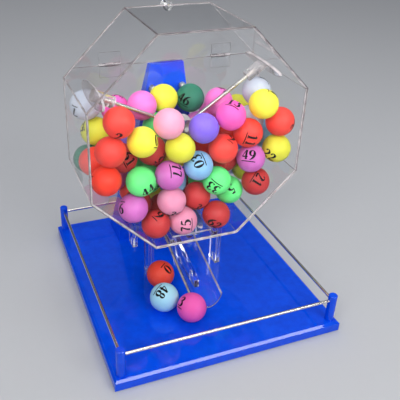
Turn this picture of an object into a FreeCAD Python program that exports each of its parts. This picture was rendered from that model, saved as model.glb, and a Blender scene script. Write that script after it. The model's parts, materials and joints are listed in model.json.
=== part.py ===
import FreeCAD, Part

import math
import os

# Tabletop ball draw machine: an eight-sided clear drum on a blue base, stirred by three
# arms on a crank shaft.  Millimetres.  +X right, +Y to the back, +Z up.
# The origin is the middle of the footprint, on the surface that the machine stands on.

# Edges that lie within this of a level count as lying on it.
PICK_TOLERANCE = 0.1

# --- Base, tray posts and rails ---------------------------------------------------------
BASE_WIDTH = 320.0
BASE_DEPTH = 360.0
BASE_THICKNESS = 15.0
BASE_CHAMFER = 3.0
FOOT_DIAMETER = 22.0
FOOT_STANDOFF = 1.0
FOOT_RECESS = 2.0
FOOT_INSET = 30.0
POST_DIAMETER = 12.0
POST_HEIGHT = 42.0
POST_INSET = 11.0
POST_EDGE = 1.0
RAIL_DIAMETER = 4.0
RAIL_DROP = 9.0
RAIL_SEAT = 4.0

# --- Drum -------------------------------------------------------------------------------
DRUM_ACROSS_FLATS = 296.0
DRUM_DEPTH = 135.0
DRUM_BACK_SETBACK = 90.0
PANEL_THICKNESS = 3.0
DRUM_CLEARANCE_UNDER = 82.0
DRUM_SIDES = 8
EXIT_HOLE_CLEARANCE = 4.0

# --- Door in the upper part of the back face --------------------------------------------
DOOR_LINE_ABOVE_AXIS = 71.5
DOOR_GAP = 0.3
HINGE_OFFSET = 82.0
HINGE_WIDTH = 30.0
HINGE_LEAF_HEIGHT = 15.0
HINGE_LEAF_THICKNESS = 1.5
HINGE_BARREL_DIAMETER = 5.0
HINGE_PIN_DIAMETER = 2.0
HINGE_PIN_CLEARANCE = 0.05
HINGE_KNUCKLE_GAP = 0.4
HINGE_CENTRE_KNUCKLE = 12.0
KNOB_DIAMETER = 15.0
KNOB_END_DIAMETER = 11.0
KNOB_LENGTH = 17.0
KNOB_EDGE = 1.5
KNOB_BELOW_TOP = 3.0
KNOB_SCREW_DIAMETER = 3.0
KNOB_SCREW_HEAD = 6.0
KNOB_SCREW_HEAD_HEIGHT = 2.0

# --- Legs -------------------------------------------------------------------------------
LEG_THICKNESS = 8.0
LEG_DEPTH = 22.5
LEG_INNER_X = 50.0
FRONT_LEG_SETBACK = 92.5
REAR_LEG_SETBACK = 12.0

# --- Tower behind the drum --------------------------------------------------------------
TOWER_PLATE = 3.0
TOWER_HEIGHT = 297.5
TOWER_TOP_HALF_WIDTH = 25.0
TOWER_FOOT_HALF_WIDTH = 74.0
TOWER_TOP_GAP = 2.0
TOWER_FOOT_GAP = 15.0
TOWER_TOP_DEPTH = 11.5
TOWER_FOOT_DEPTH = 55.0
# Two bolts a row: the rows' heights, and how far in from the tower's sides they are.
UPPER_BOLTS_BELOW_TOP = 34.5
LOWER_BOLTS_BELOW_AXIS = 50.0
UPPER_BOLTS_INSET = 8.0
LOWER_BOLTS_INSET = 10.5
BOLT_DIAMETER = 5.0
CAP_NUT_DIAMETER = 10.0
CAP_NUT_HEIGHT = 7.0
BOLT_HEAD_DIAMETER = 9.0
BOLT_HEAD_HEIGHT = 3.0

# --- Stirrer ----------------------------------------------------------------------------
STIRRER_SETBACK = 70.0
ARM_COUNT = 3
FIRST_ARM_ANGLE = 34.8
SHAFT_DIAMETER = 8.0
HUB_DIAMETER = 28.0
HUB_LENGTH = 22.0
ROD_DIAMETER = 5.0
SLEEVE_DIAMETER = 16.0
SLEEVE_LENGTH = 26.0
SLEEVE_BOTTOM = 12.0
PADDLE_WALL_GAP = 6.0
PADDLE_LENGTH = 100.0
PADDLE_WIDTH = 19.0
PADDLE_THICKNESS = 4.0
SET_SCREW_DIAMETER = 3.0
SET_SCREW_RECESS = 0.6

# --- Bearings, crank and grip -----------------------------------------------------------
SHAFT_CLEARANCE = 0.05
FRONT_BEARING_DIAMETER = 12.0
BEARING_FLANGE_DIAMETER = 20.0
BEARING_FLANGE_THICKNESS = 2.0
BEARING_REACH = 2.0
REAR_BEARING_DIAMETER = 20.0
CRANK_STANDOFF = 39.0
CRANK_RADIUS = 45.0
CRANK_WIDTH = 16.0
CRANK_THICKNESS = 7.0
THRUST_GAP = 0.4
COLLAR_DIAMETER = 16.0
COLLAR_LENGTH = 6.0
GRIP_PIN_DIAMETER = 6.0
GRIP_DIAMETER = 20.0
GRIP_LENGTH = 38.0
GRIP_WAIST = 1.5
GRIP_EDGE = 2.5
PIN_HEAD_DIAMETER = 11.0
PIN_HEAD_HEIGHT = 2.0

# --- Chute and ball gate ----------------------------------------------------------------
CHUTE_SLOPE = 15.0
CHUTE_RADIUS = 30.0
CHUTE_WALL = 3.0
CHUTE_HALF_WIDTH = 24.0
CHUTE_OUTLET_REACH = 117.5
CHUTE_UPPER_REACH = 23.5
CHUTE_OUTLET_LIFT = 0.5
CHUTE_LIP_SETBACK = 8.0
RIB_THICKNESS = 8.0
RIB_FRONT_REACH = 70.5
RIB_REAR_REACH = 13.5
GATE_THICKNESS = 3.0
GATE_GAP = 0.4
GATE_HALF_WIDTH = 30.0
GATE_OVERLAP = 4.0
GATE_FRONT_LENGTH = 24.0
GATE_PULL_DIAMETER = 10.0
GATE_PULL_LENGTH = 10.0
RUNNER_WIDTH = 6.0
RUNNER_LIP = 3.0
RUNNER_LIP_THICKNESS = 2.0
RUNNER_OVERHANG = 8.5

# --- Screws up through the base ---------------------------------------------------------
BASE_SCREW_DIAMETER = 4.0
BASE_SCREW_HEAD = 8.0
BASE_SCREW_BITE = 14.0

# --- Balls ------------------------------------------------------------------------------
BALL_DIAMETER = 40.0
BALL_WALL = 0.45
BALL_GAP = 0.3
SETTLING_STEPS = 500
SETTLED_OVERLAP = 0.1
OVAL_STEPS = 4
# Where each layer of the heap starts, from balls at the front panel, 0, to the back one, 1.
HEAP_LAYERS = {"front": 0.0, "near": 0.15, "second": 0.36, "third": 0.7, "back": 1.0}
# What a ball that touches a side wall has as its place across in the rows below.
HEAP_REACH = 3.12
# Places for further balls: how far apart they are tried and up to what height, as in the
# rows above, and how much a ball there may overlap what it meets before the heap settles.
FILL_STEP = 0.2
FILL_TOP = -0.2
FILL_OVERLAP = 4.0
# Turns of the crank at which the balls stay clear of the arms.
ARM_STOPS = (0.0, 90.0, 180.0)
# Loose balls on the base: across and back from the chute's outlet, in ball diameters.
TRAY_BALLS = ((-0.78, -0.275), (-1.48, 0.525), (-1.18, 1.775))
# The heap's balls in layers, row by row: height above the drum's axis, then each ball's place
# across the drum and its colour.  One unit is about a ball's diameter.
HEAP_ROWS = {
    "front": (
        (0.85, ((-2.60, "red"), (2.50, "yellow"))),
        (0.50, ((-0.95, "light_pink"), (1.05, "pink"))),
        (0.15, ((-1.75, "yellow"), (0.20, "violet"), (3.10, "red"))),
        (-0.05, ((-2.95, "red"), (1.95, "red"))),
        (-0.35, ((-0.40, "yellow"),)),
        (-0.50, ((1.05, "red"),)),
        (-0.85, ((3.10, "yellow"),)),
        (-1.00, ((-3.05, "red"),)),
        (-1.15, ((0.25, "light_blue"), (1.95, "violet"))),
        (-1.20, ((-1.90, "green"), (-0.85, "pink"))),
        (-2.05, ((-2.35, "violet"), (0.75, "green"), (2.40, "red"))),
        (-2.25, ((-0.85, "light_pink"),)),
        (-3.10, ((-1.30, "red"), (-0.30, "light_pink"), (0.90, "red"))),
    ),
    "near": (
        (-2.25, ((1.55, "green"),)),
    ),
    "second": (
        (0.85, ((2.55, "light_blue"),)),
        (-0.05, ((2.60, "light_blue"),)),
        (-0.65, ((-2.30, "red"), (-1.30, "red"))),
        (-0.95, ((3.10, "light_blue"),)),
        (-1.50, ((1.25, "red"), (2.75, "yellow"))),
        (-1.70, ((-1.40, "green"), (-0.30, "light_blue"))),
        (-2.60, ((-1.75, "red"), (0.30, "red"))),
    ),
    "third": (
        (0.65, ((-1.40, "pink"),)),
        (0.50, ((1.45, "pink"),)),
        (-0.15, ((-0.60, "green"), (0.80, "pink"))),
        (-0.90, ((-3.00, "red"),)),
        (-1.35, ((0.95, "red"),)),
        (-2.10, ((2.15, "light_blue"),)),
    ),
    "back": (
        (0.70, ((-3.10, "light_blue"), (-0.40, "yellow"))),
        (0.45, ((-2.00, "pink"), (0.60, "dark_green"))),
        (-0.10, ((2.55, "yellow"),)),
        (-0.35, ((-2.80, "yellow"),)),
        (-1.55, ((-3.10, "dark_green"),)),
    ),
}
# The balls that fill the space behind and under them take these colours in turn.
FILL_COLOURS = ("red", "yellow", "light_pink", "light_blue", "pink", "green", "red", "violet")

# --- Sizes that follow from the ones above ----------------------------------------------
DRUM_BACK_Y = BASE_DEPTH / 2 - DRUM_BACK_SETBACK
BASE_TOP = FOOT_STANDOFF + BASE_THICKNESS
DRUM_BOTTOM = BASE_TOP + DRUM_CLEARANCE_UNDER
AXIS_Z = DRUM_BOTTOM + DRUM_ACROSS_FLATS / 2
DRUM_FRONT_Y = DRUM_BACK_Y - DRUM_DEPTH
DRUM_INNER_FRONT = DRUM_FRONT_Y + PANEL_THICKNESS
DRUM_INNER_BACK = DRUM_BACK_Y - PANEL_THICKNESS
DRUM_INNER_APOTHEM = DRUM_ACROSS_FLATS / 2 - PANEL_THICKNESS
EXIT_Y = (DRUM_FRONT_Y + DRUM_BACK_Y) / 2
EXIT_HOLE_DIAMETER = BALL_DIAMETER + EXIT_HOLE_CLEARANCE
FRONT_LEG_Y = DRUM_BACK_Y - FRONT_LEG_SETBACK
REAR_LEG_Y = DRUM_BACK_Y - REAR_LEG_SETBACK
STIRRER_Y = DRUM_BACK_Y - STIRRER_SETBACK
PADDLE_RADIUS = DRUM_INNER_APOTHEM - PADDLE_WALL_GAP - PADDLE_THICKNESS
CRANK_FACE_Y = DRUM_BACK_Y + CRANK_STANDOFF
DOOR_LINE_Z = AXIS_Z + DOOR_LINE_ABOVE_AXIS
DOOR_INNER_Y = DRUM_INNER_BACK + DOOR_GAP
DOOR_OUTER_Y = DOOR_INNER_Y + PANEL_THICKNESS
HINGE_Y = DOOR_OUTER_Y + HINGE_BARREL_DIAMETER / 2
HINGE_Z = DOOR_LINE_Z
TOWER_TOP_Z = BASE_TOP + TOWER_HEIGHT
TOWER_TOP_FRONT_Y = DRUM_BACK_Y + TOWER_TOP_GAP
TOWER_FOOT_FRONT_Y = DRUM_BACK_Y + TOWER_FOOT_GAP
TOWER_TOP_REAR_Y = TOWER_TOP_FRONT_Y + TOWER_TOP_DEPTH
TOWER_FOOT_REAR_Y = TOWER_FOOT_FRONT_Y + TOWER_FOOT_DEPTH
SLEEVE_START = PADDLE_RADIUS - SLEEVE_LENGTH
GRIP_START_Y = CRANK_FACE_Y + CRANK_THICKNESS + THRUST_GAP
GRIP_END_Y = GRIP_START_Y + GRIP_LENGTH
GATE_BOTTOM = DRUM_BOTTOM - GATE_GAP - GATE_THICKNESS
GATE_REAR_Y = EXIT_Y + EXIT_HOLE_DIAMETER / 2 + GATE_OVERLAP
GATE_FRONT_Y = EXIT_Y - EXIT_HOLE_DIAMETER / 2 - GATE_FRONT_LENGTH
RUNNER_FRONT_Y = GATE_FRONT_Y - RUNNER_OVERHANG
CHUTE_OUTLET_Y = EXIT_Y - CHUTE_OUTLET_REACH
CHUTE_UPPER_Y = EXIT_Y + CHUTE_UPPER_REACH
RIB_FRONT_Y = EXIT_Y - RIB_FRONT_REACH
RIB_REAR_Y = EXIT_Y + RIB_REAR_REACH
BALL_RADIUS = BALL_DIAMETER / 2


# --- Helpers ----------------------------------------------------------------------------
def vec(x, y, z):
    return FreeCAD.Vector(x, y, z)


def box(x_range, y_range, z_range):
    """Upright box between two values on each axis."""
    size = [high - low for low, high in (x_range, y_range, z_range)]
    return Part.makeBox(*size, vec(x_range[0], y_range[0], z_range[0]))


def cylinder(diameter, start, direction, length):
    return Part.makeCylinder(diameter / 2, length, start, direction)


def cylinder_y(diameter, x, z, y_start, y_end):
    """Cylinder along Y between two places."""
    return cylinder(diameter, vec(x, y_start, z), vec(0, 1, 0), y_end - y_start)


def cylinder_z(diameter, x, y, z_start, z_end):
    """Cylinder along Z between two heights."""
    return cylinder(diameter, vec(x, y, z_start), vec(0, 0, 1), z_end - z_start)


def prism_y(corners, y_start, y_end):
    """Plate whose outline lies in the XZ plane, given as (x, z) corners."""
    points = [vec(x, y_start, z) for x, z in corners]
    face = Part.Face(Part.makePolygon(points + points[:1]))
    return face.extrude(vec(0, y_end - y_start, 0))


def slanted_box(x_foot, x_top, y_foot, y_top, z_range):
    """Six-faced solid whose foot and top rectangles may differ."""
    def ring(x_pair, y_pair, z):
        return [
            vec(x_pair[0], y_pair[0], z),
            vec(x_pair[1], y_pair[0], z),
            vec(x_pair[1], y_pair[1], z),
            vec(x_pair[0], y_pair[1], z),
        ]

    foot = ring(x_foot, y_foot, z_range[0])
    top = ring(x_top, y_top, z_range[1])
    loops = [foot[::-1], top]
    for i in range(4):
        j = (i + 1) % 4
        loops.append([foot[i], foot[j], top[j], top[i]])
    faces = [Part.Face(Part.makePolygon(loop + loop[:1])) for loop in loops]
    return Part.makeSolid(Part.makeShell(faces))


def between(foot_value, top_value, height):
    """Value at a height above the base top, on a line from the tower's foot to its top."""
    return foot_value + (top_value - foot_value) * height / TOWER_HEIGHT


def group(solids):
    """Identical separate solids that share one node."""
    return Part.makeCompound(solids)


def octagon(apothem):
    """Corners (x, z) of an upright octagon round the drum's axis, flats up and down."""
    corner_radius = apothem / math.cos(math.pi / DRUM_SIDES)
    corners = []
    for i in range(DRUM_SIDES):
        angle = 2 * math.pi * (i + 0.5) / DRUM_SIDES
        corners.append((corner_radius * math.cos(angle), AXIS_Z + corner_radius * math.sin(angle)))
    return corners


# --- Base -------------------------------------------------------------------------------
def corner_places(inset):
    """The base's four corners, set in by the same distance from both edges."""
    x = BASE_WIDTH / 2 - inset
    y = BASE_DEPTH / 2 - inset
    return [(-x, -y), (x, -y), (-x, y), (x, y)]


def leg_places():
    """Low x and low y corner of each leg, with its name."""
    right = LEG_INNER_X
    left = -LEG_INNER_X - LEG_THICKNESS
    return (
        ("leg_front_left", left, FRONT_LEG_Y),
        ("leg_front_right", right, FRONT_LEG_Y),
        ("leg_rear_left", left, REAR_LEG_Y),
        ("leg_rear_right", right, REAR_LEG_Y),
    )


def rib_screw_places():
    quarter = (RIB_REAR_Y - RIB_FRONT_Y) / 4
    return [(0.0, RIB_FRONT_Y + quarter), (0.0, RIB_REAR_Y - quarter)]


def base_screw_places():
    """Where a screw comes up through the base into a post, a leg or the chute's rib."""
    legs = [(x + LEG_THICKNESS / 2, y + LEG_DEPTH / 2) for _, x, y in leg_places()]
    return corner_places(POST_INSET) + legs + rib_screw_places()


def base_screw(x, y, growth=0.0):
    """Countersunk screw, its head flush with the underside of the base."""
    radius = BASE_SCREW_DIAMETER / 2 + growth
    head = BASE_SCREW_HEAD / 2 + growth
    cone = Part.makeCone(head, radius, head - radius, vec(x, y, FOOT_STANDOFF), vec(0, 0, 1))
    shank = cylinder_z(2 * radius, x, y, FOOT_STANDOFF, BASE_TOP + BASE_SCREW_BITE)
    return shank.fuse(cone).removeSplitter()


def bored_for_screws(solid):
    for x, y in base_screw_places():
        solid = solid.cut(base_screw(x, y))
    return solid


def build_base():
    half_width = BASE_WIDTH / 2
    half_depth = BASE_DEPTH / 2
    board = box((-half_width, half_width), (-half_depth, half_depth), (FOOT_STANDOFF, BASE_TOP))
    top_edges = [edge for edge in board.Edges if edge.BoundBox.ZMin > BASE_TOP - PICK_TOLERANCE]
    board = board.makeChamfer(BASE_CHAMFER, top_edges)
    foot_top = FOOT_STANDOFF + FOOT_RECESS
    feet = [cylinder_z(FOOT_DIAMETER, x, y, 0, foot_top) for x, y in corner_places(FOOT_INSET)]
    for foot in feet:
        board = board.cut(foot)
    return {
        "base_board": bored_for_screws(board),
        "rubber_feet": group(feet),
        "base_screws": group([base_screw(x, y) for x, y in base_screw_places()]),
    }


def rails():
    """The four stainless rails, each let into a post at both ends."""
    x, y = corner_places(POST_INSET)[3]
    z = BASE_TOP + POST_HEIGHT - RAIL_DROP
    end_gap = POST_DIAMETER / 2 - RAIL_SEAT
    long_run = 2 * (y - end_gap)
    short_run = 2 * (x - end_gap)
    along_x = vec(1, 0, 0)
    along_y = vec(0, 1, 0)
    across = [cylinder(RAIL_DIAMETER, vec(-short_run / 2, at, z), along_x, short_run) for at in (-y, y)]
    side = [cylinder(RAIL_DIAMETER, vec(at, -long_run / 2, z), along_y, long_run) for at in (-x, x)]
    return {
        "rails_front_and_rear": group(across),
        "rails_left_and_right": group(side),
    }


def build_tray():
    nodes = rails()
    posts = []
    for x, y in corner_places(POST_INSET):
        post = cylinder_z(POST_DIAMETER, x, y, BASE_TOP, BASE_TOP + POST_HEIGHT)
        rim = [edge for edge in post.Edges if edge.BoundBox.ZMin > BASE_TOP + POST_HEIGHT - PICK_TOLERANCE]
        post = post.makeChamfer(POST_EDGE, rim).cut(base_screw(x, y))
        for rail in nodes.values():
            post = post.cut(rail)
        posts.append(post)
    nodes["corner_posts"] = group(posts)
    return nodes


def build_legs():
    nodes = {}
    for name, x, y in leg_places():
        leg = box((x, x + LEG_THICKNESS), (y, y + LEG_DEPTH), (BASE_TOP, DRUM_BOTTOM))
        nodes[name] = leg.cut(base_screw(x + LEG_THICKNESS / 2, y + LEG_DEPTH / 2))
    return nodes


# --- Drum -------------------------------------------------------------------------------
def back_outline(above_door_line):
    """The back face's octagon, cut at the door line: its upper or its lower part."""
    reach = DRUM_ACROSS_FLATS
    low, high = (DOOR_LINE_Z, AXIS_Z + reach) if above_door_line else (AXIS_Z - reach, DOOR_LINE_Z)
    return box((-reach, reach), (-reach, reach), (low, high))


def tower_bolt_places():
    upper = (TOWER_TOP_Z - UPPER_BOLTS_BELOW_TOP, UPPER_BOLTS_INSET)
    lower = (AXIS_Z - LOWER_BOLTS_BELOW_AXIS, LOWER_BOLTS_INSET)
    places = []
    for z, inset in (upper, lower):
        x = between(TOWER_FOOT_HALF_WIDTH, TOWER_TOP_HALF_WIDTH, z - BASE_TOP) - inset
        places += [(-x, z), (x, z)]
    return places


def build_drum():
    outer = octagon(DRUM_ACROSS_FLATS / 2)
    inner = octagon(DRUM_INNER_APOTHEM)
    back = prism_y(outer, DRUM_INNER_BACK, DRUM_BACK_Y).common(back_outline(False))
    back = back.cut(cylinder_y(FRONT_BEARING_DIAMETER, 0, AXIS_Z, DRUM_INNER_BACK, DRUM_BACK_Y))
    for x, z in tower_bolt_places():
        back = back.cut(cylinder_y(BOLT_DIAMETER, x, z, DRUM_INNER_BACK, DRUM_BACK_Y))
    nodes = {
        "drum_front_panel": prism_y(outer, DRUM_FRONT_Y, DRUM_INNER_FRONT),
        "drum_back_panel": back,
    }
    # The walls in turn, each named for the way it faces, from the upper right one round.
    names = ("upper_right", "top", "upper_left", "left", "lower_left", "floor", "lower_right", "right")
    exit_hole = cylinder_z(EXIT_HOLE_DIAMETER, 0, EXIT_Y, DRUM_BOTTOM, DRUM_BOTTOM + PANEL_THICKNESS)
    for i, name in enumerate(names):
        j = (i + 1) % DRUM_SIDES
        wall = prism_y([outer[i], outer[j], inner[j], inner[i]], DRUM_INNER_FRONT, DRUM_INNER_BACK)
        if name == "floor":
            wall = wall.cut(exit_hole)
        nodes["drum_wall_" + name] = wall
    return nodes


# --- Door and its hinges ----------------------------------------------------------------
def knuckle_spans():
    """Ends of the two outer knuckles and of the middle one, from the hinge's middle."""
    half_centre = HINGE_CENTRE_KNUCKLE / 2
    inner_end = half_centre + HINGE_KNUCKLE_GAP
    outer = ((-HINGE_WIDTH / 2, -inner_end), (inner_end, HINGE_WIDTH / 2))
    return outer, (-half_centre, half_centre)


def hinge_leaf(centre_x, spans, face_y, z_low, z_high, pin_clearance):
    """Leaf on a panel's outer face with its knuckles, bored for the pin."""
    leaf = box(
        (centre_x - HINGE_WIDTH / 2, centre_x + HINGE_WIDTH / 2),
        (face_y, face_y + HINGE_LEAF_THICKNESS),
        (z_low, z_high),
    )
    # The leaf's hinge edge is cut back from the other leaf's knuckles.
    relief = HINGE_BARREL_DIAMETER + 2 * HINGE_KNUCKLE_GAP
    start = vec(centre_x - HINGE_WIDTH, HINGE_Y, HINGE_Z)
    leaf = leaf.cut(cylinder(relief, start, vec(1, 0, 0), 2 * HINGE_WIDTH))
    bore = HINGE_PIN_DIAMETER + 2 * pin_clearance
    web_low = min(HINGE_Z, (z_low + z_high) / 2)
    web_high = max(HINGE_Z, (z_low + z_high) / 2)
    for low, high in spans:
        span = (centre_x + low, centre_x + high)
        at = vec(span[0], HINGE_Y, HINGE_Z)
        web = box(span, (face_y, face_y + HINGE_LEAF_THICKNESS), (web_low, web_high))
        knuckle = cylinder(HINGE_BARREL_DIAMETER, at, vec(1, 0, 0), high - low)
        leaf = leaf.fuse(web).fuse(knuckle)
    leaf = leaf.cut(cylinder(bore, start, vec(1, 0, 0), 2 * HINGE_WIDTH))
    return leaf.removeSplitter()


def build_door():
    outline = prism_y(octagon(DRUM_ACROSS_FLATS / 2), DOOR_INNER_Y, DOOR_OUTER_Y)
    # The door's lower edge stays clear of the fixed panel while it turns.
    edge_gap = box(
        (-DRUM_ACROSS_FLATS, DRUM_ACROSS_FLATS),
        (DOOR_INNER_Y, DOOR_OUTER_Y),
        (DOOR_LINE_Z, DOOR_LINE_Z + 2 * DOOR_GAP),
    )
    panel = outline.common(back_outline(True)).cut(edge_gap)
    knob_z = AXIS_Z + DRUM_ACROSS_FLATS / 2 - KNOB_BELOW_TOP
    knob_end = DOOR_OUTER_Y + KNOB_LENGTH
    knob_foot = vec(0, DOOR_OUTER_Y, knob_z)
    knob = Part.makeCone(KNOB_DIAMETER / 2, KNOB_END_DIAMETER / 2, KNOB_LENGTH, knob_foot, vec(0, 1, 0))
    # Its outer rim is the one edge that lies wholly at its end.
    rim = [edge for edge in knob.Edges if edge.BoundBox.YMin > knob_end - KNOB_EDGE]
    knob = knob.makeFillet(KNOB_EDGE, rim)
    screw = cylinder_y(KNOB_SCREW_DIAMETER, 0, knob_z, DOOR_INNER_Y, knob_end)
    head = cylinder_y(KNOB_SCREW_HEAD, 0, knob_z, knob_end - KNOB_SCREW_HEAD_HEIGHT, knob_end)
    screw = screw.fuse(head).removeSplitter()
    outer_spans, centre_span = knuckle_spans()
    fixed = []
    moving = []
    pins = []
    for centre_x in (-HINGE_OFFSET, HINGE_OFFSET):
        low = HINGE_Z - HINGE_BARREL_DIAMETER / 2 - HINGE_LEAF_HEIGHT
        high = HINGE_Z + HINGE_BARREL_DIAMETER / 2 + HINGE_LEAF_HEIGHT
        fixed.append(hinge_leaf(centre_x, outer_spans, DRUM_BACK_Y, low, HINGE_Z, HINGE_PIN_CLEARANCE))
        moving.append(hinge_leaf(centre_x, (centre_span,), DOOR_OUTER_Y, HINGE_Z, high, 0.0))
        start = vec(centre_x - HINGE_WIDTH / 2, HINGE_Y, HINGE_Z)
        pins.append(cylinder(HINGE_PIN_DIAMETER, start, vec(1, 0, 0), HINGE_WIDTH))
    return {
        "door_panel": panel.cut(screw),
        "door_knob": knob.cut(screw),
        "door_knob_screw": screw,
        "hinge_fixed_leaves": group(fixed),
        "hinge_moving_leaves": group(moving),
        "hinge_pins": group(pins),
    }


# --- Tower ------------------------------------------------------------------------------
def build_tower():
    wall_top = TOWER_HEIGHT - TOWER_PLATE
    z_range = (BASE_TOP, BASE_TOP + wall_top)

    def pair(foot, top, inward):
        """Outer and inner values of a plate, at its foot and at the wall's top edge."""
        edge = between(foot, top, wall_top)
        return sorted((foot, foot + inward)), sorted((edge, edge + inward))

    front_foot, front_top = pair(TOWER_FOOT_FRONT_Y, TOWER_TOP_FRONT_Y, TOWER_PLATE)
    rear_foot, rear_top = pair(TOWER_FOOT_REAR_Y, TOWER_TOP_REAR_Y, -TOWER_PLATE)
    right_foot, right_top = pair(TOWER_FOOT_HALF_WIDTH, TOWER_TOP_HALF_WIDTH, -TOWER_PLATE)
    left_foot, left_top = pair(-TOWER_FOOT_HALF_WIDTH, -TOWER_TOP_HALF_WIDTH, TOWER_PLATE)
    wide_foot = (left_foot[0], right_foot[1])
    wide_top = (left_top[0], right_top[1])
    side_foot = (front_foot[1], rear_foot[0])
    side_top = (front_top[1], rear_top[0])
    lid_low = (front_top[0], rear_top[1])
    lid_high = (TOWER_TOP_FRONT_Y, TOWER_TOP_REAR_Y)
    lid_width = (-TOWER_TOP_HALF_WIDTH, TOWER_TOP_HALF_WIDTH)
    front = slanted_box(wide_foot, wide_top, front_foot, front_top, z_range)
    rear = slanted_box(wide_foot, wide_top, rear_foot, rear_top, z_range)
    reach = (DRUM_BACK_Y, TOWER_FOOT_REAR_Y)
    front = front.cut(cylinder_y(FRONT_BEARING_DIAMETER, 0, AXIS_Z, *reach))
    rear = rear.cut(cylinder_y(REAR_BEARING_DIAMETER, 0, AXIS_Z, *reach))
    for x, z in tower_bolt_places():
        front = front.cut(cylinder_y(BOLT_DIAMETER, x, z, *reach))
    return {
        "tower_front_plate": front,
        "tower_rear_plate": rear,
        "tower_left_plate": slanted_box(left_foot, left_top, side_foot, side_top, z_range),
        "tower_right_plate": slanted_box(right_foot, right_top, side_foot, side_top, z_range),
        "tower_top_plate": slanted_box(wide_top, lid_width, lid_low, lid_high, (z_range[1], TOWER_TOP_Z)),
    }


def cap_nut(x, z):
    """Domed nut on the inside of the drum's back panel."""
    radius = CAP_NUT_DIAMETER / 2
    skirt = CAP_NUT_HEIGHT - radius
    body = cylinder_y(CAP_NUT_DIAMETER, x, z, DRUM_INNER_BACK - skirt, DRUM_INNER_BACK)
    front_half = box(
        (x - radius, x + radius),
        (DRUM_INNER_BACK - CAP_NUT_HEIGHT, DRUM_INNER_BACK - skirt),
        (z - radius, z + radius),
    )
    dome = Part.makeSphere(radius, vec(x, DRUM_INNER_BACK - skirt, z)).common(front_half)
    return body.fuse(dome).removeSplitter()


def build_tower_bolts():
    bolts = []
    nuts = []
    spacers = []
    nut_grip = CAP_NUT_HEIGHT / 2
    for x, z in tower_bolt_places():
        height = z - BASE_TOP
        front_face = between(TOWER_FOOT_FRONT_Y, TOWER_TOP_FRONT_Y, height)
        head_y = front_face + TOWER_PLATE + BOLT_HEAD_HEIGHT / 2
        bolt = cylinder_y(BOLT_DIAMETER, x, z, DRUM_INNER_BACK - nut_grip, head_y)
        head = cylinder_y(BOLT_HEAD_DIAMETER, x, z, head_y, head_y + BOLT_HEAD_HEIGHT)
        bolts.append(bolt.fuse(head).removeSplitter())
        nuts.append(cap_nut(x, z).cut(bolt))
        spacer = cylinder_y(CAP_NUT_DIAMETER, x, z, DRUM_BACK_Y, front_face + TOWER_PLATE / 2)
        spacers.append(spacer.cut(tower_front_solid()).cut(bolt))
    return {
        "tower_bolts": group(bolts),
        "cap_nuts": group(nuts),
        "tower_spacers": group(spacers),
    }


def tower_front_solid():
    """The space behind the tower's front face, to trim what meets it."""
    return slanted_box(
        (-TOWER_FOOT_HALF_WIDTH, TOWER_FOOT_HALF_WIDTH),
        (-TOWER_FOOT_HALF_WIDTH, TOWER_FOOT_HALF_WIDTH),
        (TOWER_FOOT_FRONT_Y, TOWER_FOOT_REAR_Y),
        (TOWER_TOP_FRONT_Y, TOWER_FOOT_REAR_Y),
        (BASE_TOP, TOWER_TOP_Z),
    )


# --- Stirrer ----------------------------------------------------------------------------
def arm_angles():
    return [FIRST_ARM_ANGLE + 360.0 * i / ARM_COUNT for i in range(ARM_COUNT)]


def arm_placed(shape, angle):
    """A shape drawn on an arm that points along +X, turned to the arm's own angle."""
    turned = shape.copy()
    turned.rotate(vec(0, 0, 0), vec(0, -1, 0), angle)
    turned.translate(vec(0, STIRRER_Y, AXIS_Z))
    return turned


def paddle():
    """Long oval plate across the end of an arm, its length along the drum."""
    oval = Part.Ellipse(vec(0, 0, 0), PADDLE_LENGTH / 2, PADDLE_WIDTH / 2)
    plate = Part.Face(Part.Wire(oval.toShape())).extrude(vec(0, 0, PADDLE_THICKNESS))
    plate.rotate(vec(0, 0, 0), vec(0, 0, 1), 90)
    plate.rotate(vec(0, 0, 0), vec(0, 1, 0), 90)
    plate.translate(vec(PADDLE_RADIUS, 0, 0))
    return plate


def set_screw(start, surface_radius, held):
    """Set screw up from the middle of what it holds, and the hole it stands in."""
    up = vec(0, 0, 1)
    screw = cylinder(SET_SCREW_DIAMETER, start, up, surface_radius - SET_SCREW_RECESS)
    hole = cylinder(SET_SCREW_DIAMETER, start, up, surface_radius + SET_SCREW_DIAMETER)
    return screw.cut(held), hole


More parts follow.
